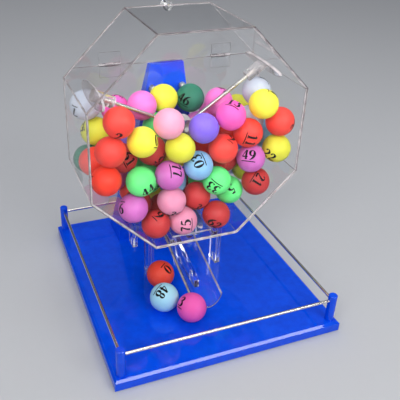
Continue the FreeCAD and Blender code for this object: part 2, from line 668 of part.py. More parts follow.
def build_stirrer():
    along_arm = vec(1, 0, 0)
    rod_start = SHAFT_DIAMETER / 2
    rod_end = SLEEVE_START + SLEEVE_LENGTH - SLEEVE_BOTTOM
    rod = cylinder(ROD_DIAMETER, vec(rod_start, 0, 0), along_arm, rod_end - rod_start)
    sleeve = cylinder(SLEEVE_DIAMETER, vec(SLEEVE_START, 0, 0), along_arm, SLEEVE_LENGTH)
    screw_start = vec(SLEEVE_START + SLEEVE_BOTTOM / 2, 0, 0)
    sleeve_screw, screw_hole = set_screw(screw_start, SLEEVE_DIAMETER / 2, rod)
    sleeve = sleeve.cut(rod).cut(screw_hole)
    hub_start = STIRRER_Y - HUB_LENGTH / 2
    hub = cylinder_y(HUB_DIAMETER, 0, AXIS_Z, hub_start, hub_start + HUB_LENGTH)
    shaft = cylinder_y(SHAFT_DIAMETER, 0, AXIS_Z, hub_start, CRANK_FACE_Y + CRANK_THICKNESS)
    hub = hub.cut(shaft)
    rods = []
    sleeves = []
    paddles = []
    screws = []
    shaft_round = cylinder(SHAFT_DIAMETER, vec(0, -HUB_LENGTH, 0), vec(0, 1, 0), 2 * HUB_LENGTH)
    for angle in arm_angles():
        rods.append(arm_placed(rod.cut(shaft_round), angle))
        sleeves.append(arm_placed(sleeve, angle))
        paddles.append(arm_placed(paddle(), angle))
        screws.append(arm_placed(sleeve_screw, angle))
        hub = hub.cut(rods[-1])
    return {
        "stirrer_shaft": shaft,
        "stirrer_hub": hub,
        "stirrer_rods": group(rods),
        "rod_sleeves": group(sleeves),
        "paddles": group(paddles),
        "set_screws": group(screws + [crank_set_screw(shaft)[0]]),
    }


# --- Bearings, crank and grip -----------------------------------------------------------
def crank_set_screw(shaft):
    """Set screw down through the top of the crank arm onto the shaft, and its hole."""
    start = vec(0, CRANK_FACE_Y + CRANK_THICKNESS / 2, AXIS_Z)
    return set_screw(start, CRANK_WIDTH / 2, shaft)


def build_bearings():
    bore = SHAFT_DIAMETER + 2 * SHAFT_CLEARANCE
    height = AXIS_Z - BASE_TOP
    front_inside = between(TOWER_FOOT_FRONT_Y, TOWER_TOP_FRONT_Y, height) + TOWER_PLATE
    flange_start = DRUM_INNER_BACK - BEARING_FLANGE_THICKNESS
    rear_face = between(TOWER_FOOT_REAR_Y, TOWER_TOP_REAR_Y, height)
    rear_start = rear_face - TOWER_PLATE - BEARING_REACH - BEARING_FLANGE_THICKNESS
    rear_end = CRANK_FACE_Y - THRUST_GAP
    front_end = front_inside + BEARING_REACH
    front = cylinder_y(FRONT_BEARING_DIAMETER, 0, AXIS_Z, flange_start, front_end)
    flange = cylinder_y(BEARING_FLANGE_DIAMETER, 0, AXIS_Z, flange_start, DRUM_INNER_BACK)
    front = front.fuse(flange).removeSplitter()
    rear = cylinder_y(REAR_BEARING_DIAMETER, 0, AXIS_Z, rear_start, rear_end)
    hole = cylinder_y(bore, 0, AXIS_Z, flange_start, rear_end)
    return {
        "front_bearing": front.cut(hole),
        "rear_bearing": rear.cut(hole),
    }


def build_crank():
    arm_end_y = CRANK_FACE_Y + CRANK_THICKNESS
    grip_z = AXIS_Z - CRANK_RADIUS
    arm = cylinder_y(CRANK_WIDTH, 0, AXIS_Z, CRANK_FACE_Y, arm_end_y)
    tip = cylinder_y(CRANK_WIDTH, 0, grip_z, CRANK_FACE_Y, arm_end_y)
    web = box((-CRANK_WIDTH / 2, CRANK_WIDTH / 2), (CRANK_FACE_Y, arm_end_y), (grip_z, AXIS_Z))
    arm = arm.fuse(tip).fuse(web).removeSplitter()
    shaft = cylinder_y(SHAFT_DIAMETER, 0, AXIS_Z, CRANK_FACE_Y, arm_end_y)
    pin = cylinder_y(GRIP_PIN_DIAMETER, 0, grip_z, CRANK_FACE_Y, GRIP_END_Y + THRUST_GAP)
    head_start = GRIP_END_Y + THRUST_GAP
    pin_head = cylinder_y(PIN_HEAD_DIAMETER, 0, grip_z, head_start, head_start + PIN_HEAD_HEIGHT)
    pin = pin.fuse(pin_head).removeSplitter()
    grip_bore = GRIP_PIN_DIAMETER + 2 * SHAFT_CLEARANCE
    collar_start = DRUM_INNER_BACK - BEARING_FLANGE_THICKNESS - THRUST_GAP - COLLAR_LENGTH
    collar = cylinder_y(COLLAR_DIAMETER, 0, AXIS_Z, collar_start, collar_start + COLLAR_LENGTH)
    collar_hole = cylinder_y(SHAFT_DIAMETER, 0, AXIS_Z, collar_start, collar_start + COLLAR_LENGTH)
    return {
        "crank_arm": arm.cut(shaft).cut(crank_set_screw(shaft)[1]).cut(pin),
        "shaft_collar": collar.cut(collar_hole),
        "grip_pin": pin,
        "crank_grip": grip(grip_z).cut(cylinder_y(grip_bore, 0, grip_z, GRIP_START_Y, GRIP_END_Y)),
    }


def grip(grip_z):
    """Turned grip: rounded ends and a slight waist, revolved about its pin."""
    radius = GRIP_DIAMETER / 2
    middle = (GRIP_START_Y + GRIP_END_Y) / 2

    def at(y, r):
        return vec(0, y, grip_z + r)

    start_rim = at(GRIP_START_Y, radius - GRIP_EDGE)
    start_side = at(GRIP_START_Y + GRIP_EDGE, radius)
    end_side = at(GRIP_END_Y - GRIP_EDGE, radius)
    end_rim = at(GRIP_END_Y, radius - GRIP_EDGE)
    slope = GRIP_EDGE * (1 - math.sqrt(0.5))
    start_mid = at(GRIP_START_Y + slope, radius - slope)
    end_mid = at(GRIP_END_Y - slope, radius - slope)
    edges = [
        Part.makeLine(at(GRIP_START_Y, 0), start_rim),
        Part.Arc(start_rim, start_mid, start_side).toShape(),
        Part.Arc(start_side, at(middle, radius - GRIP_WAIST), end_side).toShape(),
        Part.Arc(end_side, end_mid, end_rim).toShape(),
        Part.makeLine(end_rim, at(GRIP_END_Y, 0)),
        Part.makeLine(at(GRIP_END_Y, 0), at(GRIP_START_Y, 0)),
    ]
    outline = Part.Face(Part.Wire(edges))
    return outline.revolve(at(GRIP_START_Y, 0), vec(0, 1, 0), 360)


# --- Chute and gate ---------------------------------------------------------------------
def chute_underside(y):
    """Height of the trough's lowest line at a place along the machine."""
    rise = math.tan(math.radians(CHUTE_SLOPE))
    return BASE_TOP + CHUTE_OUTLET_LIFT + rise * (y - CHUTE_OUTLET_Y)


def chute_solid(radius, overrun):
    """Sloping round bar whose lowest line is the trough's underside."""
    slope = math.radians(CHUTE_SLOPE)
    axis_lift = CHUTE_RADIUS / math.cos(slope)
    start_y = CHUTE_OUTLET_Y - overrun
    start = vec(0, start_y, chute_underside(start_y) + axis_lift)
    run = (CHUTE_UPPER_Y + overrun - start_y) / math.cos(slope)
    return cylinder(2 * radius, start, vec(0, math.cos(slope), math.sin(slope)), run)


def chute_plan():
    """Plan outline of the trough: parallel sides and a rounded outlet lip."""
    side_y = CHUTE_OUTLET_Y + CHUTE_LIP_SETBACK
    left = vec(-CHUTE_HALF_WIDTH, side_y, 0)
    right = vec(CHUTE_HALF_WIDTH, side_y, 0)
    back_left = vec(-CHUTE_HALF_WIDTH, CHUTE_UPPER_Y, 0)
    back_right = vec(CHUTE_HALF_WIDTH, CHUTE_UPPER_Y, 0)
    lip = Part.Arc(left, vec(0, CHUTE_OUTLET_Y, 0), right).toShape()
    sides = [
        Part.makeLine(right, back_right),
        Part.makeLine(back_right, back_left),
        Part.makeLine(back_left, left),
    ]
    return Part.Face(Part.Wire([lip] + sides)).extrude(vec(0, 0, DRUM_BOTTOM))


def trough_below_edges():
    """Everything under the sloping plane through the trough's two long edges."""
    slope = math.radians(CHUTE_SLOPE)
    sagitta = CHUTE_RADIUS - math.sqrt(CHUTE_RADIUS ** 2 - CHUTE_HALF_WIDTH ** 2)
    lift = sagitta / math.cos(slope)
    corners = []
    for y in (CHUTE_OUTLET_Y - CHUTE_RADIUS, CHUTE_UPPER_Y + CHUTE_RADIUS):
        corners.append(vec(-CHUTE_RADIUS, y, chute_underside(y) + lift))
    corners.append(vec(-CHUTE_RADIUS, corners[1].y, -CHUTE_RADIUS))
    corners.append(vec(-CHUTE_RADIUS, corners[0].y, -CHUTE_RADIUS))
    face = Part.Face(Part.makePolygon(corners + corners[:1]))
    return face.extrude(vec(2 * CHUTE_RADIUS, 0, 0))


def build_chute():
    overrun = CHUTE_RADIUS
    outside = chute_solid(CHUTE_RADIUS, overrun)
    inside = chute_solid(CHUTE_RADIUS - CHUTE_WALL, 2 * overrun)
    trough = outside.cut(inside).common(chute_plan()).common(trough_below_edges())
    half_rib = RIB_THICKNESS / 2
    rib = box((-half_rib, half_rib), (RIB_FRONT_Y, RIB_REAR_Y), (BASE_TOP, DRUM_BOTTOM))
    # Cut along the trough's underside, the rib's lower piece is the one that stays.
    pieces = rib.cut(chute_solid(CHUTE_RADIUS, overrun)).Solids
    rib = min(pieces, key=lambda solid: solid.CenterOfMass.z)
    for x, y in rib_screw_places():
        rib = rib.cut(base_screw(x, y))
    return {
        "chute_trough": trough.Solids[0],
        "chute_rib": rib,
    }


def build_gate():
    plate = box(
        (-GATE_HALF_WIDTH, GATE_HALF_WIDTH),
        (GATE_FRONT_Y, GATE_REAR_Y),
        (GATE_BOTTOM, GATE_BOTTOM + GATE_THICKNESS),
    )
    pull_y = GATE_FRONT_Y + GATE_PULL_DIAMETER
    pull = cylinder_z(GATE_PULL_DIAMETER, 0, pull_y, GATE_BOTTOM - GATE_PULL_LENGTH, GATE_BOTTOM)
    runners = []
    slot = box(
        (-GATE_HALF_WIDTH - GATE_GAP, GATE_HALF_WIDTH + GATE_GAP),
        (RUNNER_FRONT_Y, GATE_REAR_Y),
        (GATE_BOTTOM - GATE_GAP, DRUM_BOTTOM),
    )
    inner_x = GATE_HALF_WIDTH - RUNNER_LIP
    outer_x = GATE_HALF_WIDTH + GATE_GAP + RUNNER_WIDTH
    low = GATE_BOTTOM - GATE_GAP - RUNNER_LIP_THICKNESS
    for span in ((-outer_x, -inner_x), (inner_x, outer_x)):
        runners.append(box(span, (RUNNER_FRONT_Y, GATE_REAR_Y), (low, DRUM_BOTTOM)).cut(slot))
    return {
        "gate_plate": plate,
        "gate_pull": pull,
        "gate_runners": group(runners),
    }


# --- Balls ------------------------------------------------------------------------------
class Ball:
    """A ball in the drum: its colour and place, with x and z counted from the drum's axis."""

    def __init__(self, across, back, up, colour):
        unit = wall_reach() / HEAP_REACH
        low, high = depth_range()
        self.place = [across * unit, low + back * (high - low), up * unit]
        self.colour = colour


def first_balls():
    """The heap before it settles: the layers' rows, then a ball wherever one more has room."""
    balls = []
    for layer, back in HEAP_LAYERS.items():
        for up, row in HEAP_ROWS[layer]:
            balls += [Ball(across, back, up, colour) for across, colour in row]
    half_width = int(HEAP_REACH / FILL_STEP)
    filled = 0
    for back in reversed(list(HEAP_LAYERS.values())):
        for row in range(-half_width, int(FILL_TOP / FILL_STEP)):
            for column in range(-half_width, half_width + 1):
                colour = FILL_COLOURS[filled % len(FILL_COLOURS)]
                ball = Ball(column * FILL_STEP, back, row * FILL_STEP, colour)
                if has_room(ball.place, balls):
                    balls.append(ball)
                    filled += 1
    return balls


def has_room(place, balls):
    """Whether a ball would overlap the walls, the arms and the other balls only a little."""
    reach = BALL_DIAMETER - FILL_OVERLAP
    inside = inside_walls(place, FILL_OVERLAP / 2) and arm_overlap(place) < FILL_OVERLAP
    return inside and all(distance(place, other.place) > reach for other in balls)


def wall_normals():
    angles = [2 * math.pi * i / DRUM_SIDES for i in range(DRUM_SIDES)]
    return [(math.cos(angle), math.sin(angle)) for angle in angles]


def wall_reach():
    """How far from the drum's axis, square to a wall, a ball's middle may be."""
    return DRUM_INNER_APOTHEM - BALL_RADIUS - BALL_GAP


def depth_range():
    """The y of a ball at the front panel and of one at the back."""
    clear = BALL_RADIUS + BALL_GAP
    return DRUM_INNER_FRONT + clear, DRUM_INNER_BACK - clear


def inside_walls(place, allowance):
    limit = wall_reach() + allowance
    return all(place[0] * nx + place[2] * nz <= limit for nx, nz in wall_normals())


def stopped_arm_directions():
    """Which way each arm points, as (cosine, sine), at each of the crank's stops."""
    # A positive turn of the crank about +Y lowers an arm's angle.
    angles = [math.radians(angle - stop) for stop in ARM_STOPS for angle in arm_angles()]
    return [(math.cos(angle), math.sin(angle)) for angle in angles]


ARM_DIRECTIONS = stopped_arm_directions()


def nearest_on_oval(across, side):
    """Point of a paddle's oval nearest to one in its plane, across the arm and along the drum.

    It is found on the rim by stepping along the circle that fits the rim best at the last guess.
    """
    a = PADDLE_WIDTH / 2
    b = PADDLE_LENGTH / 2
    x, y = abs(across), abs(side)
    if (x / a) ** 2 + (y / b) ** 2 <= 1:
        return across, side
    cosine = sine = math.sqrt(0.5)
    for _ in range(OVAL_STEPS):
        centre_x = (a * a - b * b) * cosine ** 3 / a
        centre_y = (b * b - a * a) * sine ** 3 / b
        fit = math.hypot(a * cosine - centre_x, b * sine - centre_y)
        reach = math.hypot(x - centre_x, y - centre_y)
        cosine = min(max((centre_x + (x - centre_x) * fit / reach) / a, 0.0), 1.0)
        sine = min(max((centre_y + (y - centre_y) * fit / reach) / b, 0.0), 1.0)
        length = math.hypot(cosine, sine)
        cosine, sine = cosine / length, sine / length
    return math.copysign(a * cosine, across), math.copysign(b * sine, side)


def arm_obstacles(place):
    """Nearest point of each stirrer part to a ball, with that part's own radius.

    An arm is a rod and a sleeve, each a line with a radius, and a flat paddle.  It is
    looked at in each of the places where the crank stops.
    """
    x, y, z = place
    found = []
    side = y - STIRRER_Y
    for cosine, sine in ARM_DIRECTIONS:
        along = x * cosine + z * sine
        if along < 0:
            continue
        across = z * cosine - x * sine
        if abs(across) > BALL_DIAMETER:
            continue
        on_rod = min(along, SLEEVE_START)
        on_sleeve = min(max(along, SLEEVE_START), PADDLE_RADIUS)
        on_plate = min(max(along, PADDLE_RADIUS), PADDLE_RADIUS + PADDLE_THICKNESS)
        on_paddle = (on_plate,) + nearest_on_oval(across, side)
        nearest = (
            (on_rod, 0.0, 0.0, ROD_DIAMETER / 2),
            (on_sleeve, 0.0, 0.0, SLEEVE_DIAMETER / 2),
            on_paddle + (0.0,),
        )
        for r, t, s, radius in nearest:
            point = (r * cosine - t * sine, STIRRER_Y + s, r * sine + t * cosine)
            found.append((point, radius))
    return found


def fixed_obstacles(place):
    """Nearest points of the hub, the shaft and the bolt nuts to a ball."""
    y = place[1]
    hub_start = STIRRER_Y - HUB_LENGTH / 2
    hub_y = min(max(y, hub_start), hub_start + HUB_LENGTH)
    shaft_y = min(max(y, hub_start), DRUM_BACK_Y)
    flange_y = DRUM_INNER_BACK - BEARING_FLANGE_THICKNESS - COLLAR_LENGTH
    found = [
        ((0.0, hub_y, 0.0), HUB_DIAMETER / 2),
        ((0.0, shaft_y, 0.0), SHAFT_DIAMETER / 2),
        ((0.0, max(y, flange_y), 0.0), BEARING_FLANGE_DIAMETER / 2),
    ]
    for x, z in tower_bolt_places():
        nut_y = max(y, DRUM_INNER_BACK - CAP_NUT_HEIGHT / 2)
        found.append(((x, nut_y, z - AXIS_Z), CAP_NUT_DIAMETER / 2))
    return found


def arm_overlap(place):
    """How deep a ball would stand in the stirrer."""
    depths = [BALL_RADIUS + radius - distance(place, point) for point, radius in arm_obstacles(place)]
    return max(depths, default=-BALL_RADIUS)


def distance(a, b):
    return math.sqrt((a[0] - b[0]) ** 2 + (a[1] - b[1]) ** 2 + (a[2] - b[2]) ** 2)


def push_out(place, point, reach):
    """Move a ball straight away from a point until it is a reach away."""
    gap = distance(place, point)
    if gap >= reach or gap == 0.0:
        return
    for axis in range(3):
        place[axis] += (place[axis] - point[axis]) * (reach - gap) / gap


def keep_inside(place):
    for nx, nz in wall_normals():
        beyond = place[0] * nx + place[2] * nz - wall_reach()
        if beyond > 0:
            place[0] -= beyond * nx
            place[2] -= beyond * nz
    low, high = depth_range()
    place[1] = min(max(place[1], low), high)


def part_pairs(balls, spacing):
    """Move overlapping balls apart, each by half, and return the deepest overlap."""
    worst = 0.0
    for i, first in enumerate(balls):
        for second in balls[i + 1:]:
            a = first.place
            b = second.place
            if abs(b[0] - a[0]) >= spacing:
                continue
            gap = distance(a, b)
            if gap >= spacing or gap == 0.0:
                continue
            worst = max(worst, spacing - gap)
            for axis in range(3):
                move = (b[axis] - a[axis]) * (spacing - gap) / gap / 2
                a[axis] -= move
                b[axis] += move
    return worst


def settled_balls():
    """Let the balls push each other apart, clear of the walls and of the stirrer."""
    balls = first_balls()
    for _ in range(SETTLING_STEPS):
        worst = part_pairs(balls, BALL_DIAMETER + BALL_GAP)
        for ball in balls:
            for point, radius in arm_obstacles(ball.place) + fixed_obstacles(ball.place):
                push_out(ball.place, point, BALL_RADIUS + BALL_GAP + radius)
            keep_inside(ball.place)
        if worst < SETTLED_OVERLAP:
            break
    kept = []
    for ball in balls:
        clear_of_balls = all(distance(ball.place, other.place) > BALL_DIAMETER for other in kept)
        if clear_of_balls and arm_overlap(ball.place) < 0:
            kept.append(ball)
    return kept


def ball_shell(x, y, z):
    """Hollow ball."""
    outside = Part.makeSphere(BALL_RADIUS, vec(x, y, z))
    return outside.cut(Part.makeSphere(BALL_RADIUS - BALL_WALL, vec(x, y, z)))


def build_balls():
    by_colour = {}
    for ball in settled_balls():
        x, y, z = ball.place
        by_colour.setdefault("balls_" + ball.colour, []).append(ball_shell(x, y, AXIS_Z + z))
    nodes = {name: group(solids) for name, solids in by_colour.items()}
    tray_z = BASE_TOP + BALL_RADIUS
    tray = []
    for across, back in TRAY_BALLS:
        y = CHUTE_OUTLET_Y + back * BALL_DIAMETER
        tray.append(ball_shell(across * BALL_DIAMETER, y, tray_z))
    nodes["tray_balls"] = group(tray)
    return nodes


def main():
    nodes = {}
    for build in (
        build_base, build_tray, build_legs, build_drum, build_door, build_tower,
        build_tower_bolts, build_stirrer, build_bearings, build_crank, build_chute,
        build_gate, build_balls,
    ):
        nodes.update(build())
    os.makedirs("parts", exist_ok=True)
    for name, shape in nodes.items():
        shape.exportStep("parts/" + name + ".step")


main()
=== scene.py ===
"""Looks of a tabletop raffle drum: clear drum, numbered balls, blue base and tower.

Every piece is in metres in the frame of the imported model: +X right, +Y to the back, +Z up.
"""

import json
import logging
import math
from dataclasses import dataclass, field
from enum import Enum
from typing import Any, Callable, Iterable, Sequence

import bmesh
import bpy
import numpy as np
from mathutils import Matrix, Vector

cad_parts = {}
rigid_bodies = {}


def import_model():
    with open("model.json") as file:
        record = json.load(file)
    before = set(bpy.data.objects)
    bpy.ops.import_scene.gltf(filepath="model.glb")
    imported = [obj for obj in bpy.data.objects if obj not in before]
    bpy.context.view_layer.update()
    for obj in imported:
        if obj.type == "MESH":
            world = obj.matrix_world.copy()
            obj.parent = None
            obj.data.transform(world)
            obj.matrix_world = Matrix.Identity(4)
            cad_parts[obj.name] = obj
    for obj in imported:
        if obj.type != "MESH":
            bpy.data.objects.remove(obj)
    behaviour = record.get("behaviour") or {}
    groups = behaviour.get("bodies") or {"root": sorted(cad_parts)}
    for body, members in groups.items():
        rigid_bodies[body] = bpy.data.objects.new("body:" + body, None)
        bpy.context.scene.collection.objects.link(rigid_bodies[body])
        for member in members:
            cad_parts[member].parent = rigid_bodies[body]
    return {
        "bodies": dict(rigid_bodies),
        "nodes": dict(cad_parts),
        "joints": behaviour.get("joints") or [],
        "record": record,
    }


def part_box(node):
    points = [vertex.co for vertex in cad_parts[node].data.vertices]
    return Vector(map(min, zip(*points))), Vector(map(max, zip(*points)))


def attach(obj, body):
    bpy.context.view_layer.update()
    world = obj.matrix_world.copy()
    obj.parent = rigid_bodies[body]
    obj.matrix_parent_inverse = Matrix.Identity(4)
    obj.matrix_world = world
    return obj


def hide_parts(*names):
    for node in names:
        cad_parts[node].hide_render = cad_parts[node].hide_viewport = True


log = logging.getLogger("raffle_drum")

MM = 0.001
ACRYLIC_IOR = 1.49
Array = np.ndarray
Colour = tuple[float, float, float]
# Points, and blocks of faces with the same number of corners.
Surface = tuple[Array, list[Array]]
UP = np.array([0.0, 0.0, 1.0])


# --- Mesh helpers -----------------------------------------------------------------------
def unit(vectors: Array) -> Array:
    """Vectors divided by their own length.

    Args:
        vectors: Array whose last axis holds x, y and z.

    Returns:
        Array of the same shape.
    """
    length = np.linalg.norm(vectors, axis=-1, keepdims=True)
    return vectors / np.where(length == 0.0, 1.0, length)


def grid_faces(rows: int, columns: int, ring: bool) -> Array:
    """Four-cornered faces of a grid of points numbered row by row.

    Args:
        rows: How many points the grid has along its first parameter.
        columns: How many points it has along its second.
        ring: Whether the last column joins the first one.

    Returns:
        Integer array of shape (faces, 4).
    """
    across = columns if ring else columns - 1
    i, j = np.meshgrid(np.arange(rows - 1), np.arange(across), indexing="ij")
    k = (j + 1) % columns
    corners = (i * columns + j, i * columns + k, (i + 1) * columns + k, (i + 1) * columns + j)
    return np.stack([corner.ravel() for corner in corners], axis=1)


def mesh_object(name: str, points: Array, faces: Sequence[Any], smooth: bool = True) -> bpy.types.Object:
    """Object at the origin whose mesh holds the given points and faces.

    Args:
        name: Name of the object and of its mesh.
        points: Array of shape (points, 3), in metres.
        faces: Arrays of faces, each of shape (faces, corners).
        smooth: Whether the faces are shaded smooth.

    Returns:
        The new object, linked to the scene.
    """
    mesh = bpy.data.meshes.new(name)
    listed = [face for block in faces for face in np.asarray(block).tolist()]
    mesh.from_pydata(np.asarray(points, dtype=float).tolist(), [], listed)
    mesh.update()
    mesh.polygons.foreach_set("use_smooth", np.full(len(mesh.polygons), smooth))
    piece = bpy.data.objects.new(name, mesh)
    bpy.context.scene.collection.objects.link(piece)
    return piece


def point_attribute(piece: bpy.types.Object, name: str, values: Array) -> None:
    """Stores a colour for each point of a piece.

    Args:
        piece: Piece that gets the attribute.
        name: Name of the attribute.
        values: Array of shape (points, 3).
    """
    attribute = piece.data.color_attributes.new(name, "FLOAT_COLOR", "POINT")
    with_alpha = np.concatenate([values, np.ones((len(values), 1))], axis=1)
    attribute.data.foreach_set("color", with_alpha.astype(np.float32).ravel())


def read_all(items: Any, name: str, width: int = 1, kind: type = float) -> Array:
    """One property of every point, edge or face of a mesh.

    Args:
        items: The mesh's points, edges or faces.
        name: Name of the property.
        width: How many numbers it has for each item.
        kind: Kind of number.

    Returns:
        Array of shape (items,), or of shape (items, width) where width is over 1.
    """
    values = np.empty(len(items) * width, dtype=kind)
    items.foreach_get(name, values)
    return values if width == 1 else values.reshape(-1, width)


def revolved(profile: Array, foot: Array, segments: int) -> Surface:
    """Surface of a profile turned about an upright axis, closed at both ends.

    Each point stands its own height above the foot, and its own radius away from the axis
    in a direction that goes once round it.

    Args:
        profile: Array of (height, radius) pairs, from the lower end to the upper one.
        foot: Point on the axis where the height is 0.
        segments: How many steps go round.

    Returns:
        Points, and a list with the side faces and the two end faces.
    """
    turn = np.arange(segments) * 2 * np.pi / segments
    outward = np.stack([-np.sin(turn), np.cos(turn), np.zeros(segments)], axis=1)
    points = foot + profile[:, 0, None, None] * UP + profile[:, 1, None, None] * outward
    last = (len(profile) - 1) * segments
    ends = [np.arange(segments)[None, ::-1], (last + np.arange(segments))[None, :]]
    return points.reshape(-1, 3), [grid_faces(len(profile), segments, True)] + ends


def joined(parts: Iterable[Surface]) -> Surface:
    """Several surfaces as one list of points and one list of faces.

    Args:
        parts: Pairs of points and face arrays.

    Returns:
        All points, and all face arrays with their numbers moved on.
    """
    points: list[Array] = []
    faces: list[Array] = []
    count = 0
    for part_points, part_faces in parts:
        faces.extend(block + count for block in part_faces)
        points.append(part_points)
        count += len(part_points)
    return np.concatenate(points), faces


def standing(right: Array, up: Array, back: Array, place: Array) -> Matrix:
    """Matrix of a camera or lamp.

    Args:
        right: Unit vector to its right.
        up: Unit vector to its top.
        back: Unit vector away from what it looks at.
        place: Where it stands, in metres.

    Returns:
        The matrix, with the three vectors and the place as its columns.
    """
    matrix = np.eye(4)
    matrix[:3, :3] = np.stack([right, up, back], axis=1)
    matrix[:3, 3] = place
    return Matrix(matrix.tolist())


# --- Node helpers -----------------------------------------------------------------------
class Nodes:
    """Short way to add nodes to one node tree and to link them."""

    def __init__(self, tree: bpy.types.NodeTree) -> None:
        """Keeps the tree that gets the nodes."""
        self.tree = tree

    def add(self, kind: str, inputs: dict[Any, Any] | None = None, **settings: Any) -> bpy.types.Node:
        """Adds a node.

        Args:
            kind: Node type, such as ShaderNodeMath.
            inputs: Input name or number, and the value or socket that it takes.
            **settings: Properties set on the node itself.

        Returns:
            The new node.
        """
        node = self.tree.nodes.new(kind)
        for name, value in settings.items():
            setattr(node, name, value)
        for name, value in (inputs or {}).items():
            self.feed(node.inputs[name], value)
        return node

    def feed(self, socket: bpy.types.NodeSocket, value: Any) -> None:
        """Links a socket into an input, or sets the input's own value.

        Args:
            socket: The input.
            value: Socket that is linked, or plain value that is set.
        """
        if isinstance(value, bpy.types.NodeSocket):
            self.tree.links.new(value, socket)
        else:
            socket.default_value = value

    def math(self, operation: str, first: Any, second: Any) -> bpy.types.NodeSocket:
        """One sum on two values."""
        return self.add("ShaderNodeMath", {0: first, 1: second}, operation=operation).outputs[0]

    def ramp(
        self, value: Any, low: float, high: float, out_low: float = 0.0, out_high: float = 1.0
    ) -> bpy.types.NodeSocket:
        """Value carried from one range to another and held at its ends.

        Args:
            value: Socket that gives the value.
            low: Value that becomes out_low.
            high: Value that becomes out_high.
            out_low: Result at low and beyond it.
            out_high: Result at high and beyond it.

        Returns:
            Socket that gives the result.
        """
        inputs = {"Value": value, "From Min": low, "From Max": high, "To Min": out_low, "To Max": out_high}
        return self.add("ShaderNodeMapRange", inputs).outputs["Result"]

    def mix(self, share: Any, first: Any, second: Any) -> bpy.types.NodeSocket:
        """Blend of two colours.

        Args:
            share: How much of the second colour is taken, from 0 to 1.
            first: First colour.
            second: Second colour.

        Returns:
            Socket that gives the blend.
        """
        # A Mix node has its colours at inputs 6 and 7, and their blend at output 2.
        return self.add("ShaderNodeMix", {0: share, 6: first, 7: second}, data_type="RGBA").outputs[2]

    def noise(self, place: Any, size: Any, detail: float, roughness: float = 0.5) -> bpy.types.NodeSocket:
        """Cloudy noise from 0 to 1.

        Args:
            place: Socket that gives the place.
            size: How many cells of noise a metre holds.
            detail: How many finer layers are added.
            roughness: How strong the finer layers are.

        Returns:
            Socket that gives the noise.
        """
        inputs = {"Vector": place, "Scale": size, "Detail": detail, "Roughness": roughness}
        return self.add("ShaderNodeTexNoise", inputs).outputs[0]

    def bump(self, height: Any, strength: float, depth: float) -> bpy.types.NodeSocket:
        """Normal of a fine relief.

        Args:
            height: Socket that gives the height.
            strength: How much of the relief is taken, from 0 to 1.
            depth: What a height of 1 stands for, in metres.

        Returns:
            Socket that gives the normal.
        """
        inputs = {"Height": height, "Strength": strength, "Distance": depth}
        return self.add("ShaderNodeBump", inputs).outputs[0]

    def principled(self, inputs: dict[str, Any]) -> bpy.types.NodeSocket:
        """Surface shader with the given inputs."""
        return self.add("ShaderNodeBsdfPrincipled", inputs).outputs[0]


def rgba(colour: Colour) -> tuple[float, float, float, float]:
    """A colour with full alpha."""
    return (*colour, 1.0)


def new_group(
    name: str, inputs: dict[str, float], outputs: Sequence[str]
) -> tuple[bpy.types.NodeTree, Nodes, Any, Any]:
    """Empty shader node group.

    Args:
        name: Name of the group.
        inputs: Input names with their usual values.
        outputs: Output names, all plain values.

    Returns:
        The group, its node helper, its input node and its output node.
    """
    group = bpy.data.node_groups.new(name, "ShaderNodeTree")
    group.interface.new_socket("Vector", in_out="INPUT", socket_type="NodeSocketVector")
    for key, value in inputs.items():
        socket = group.interface.new_socket(key, in_out="INPUT", socket_type="NodeSocketFloat")
        socket.default_value = value
    for key in outputs:
        group.interface.new_socket(key, in_out="OUTPUT", socket_type="NodeSocketFloat")
    nodes = Nodes(group)
    return group, nodes, nodes.add("NodeGroupInput"), nodes.add("NodeGroupOutput")


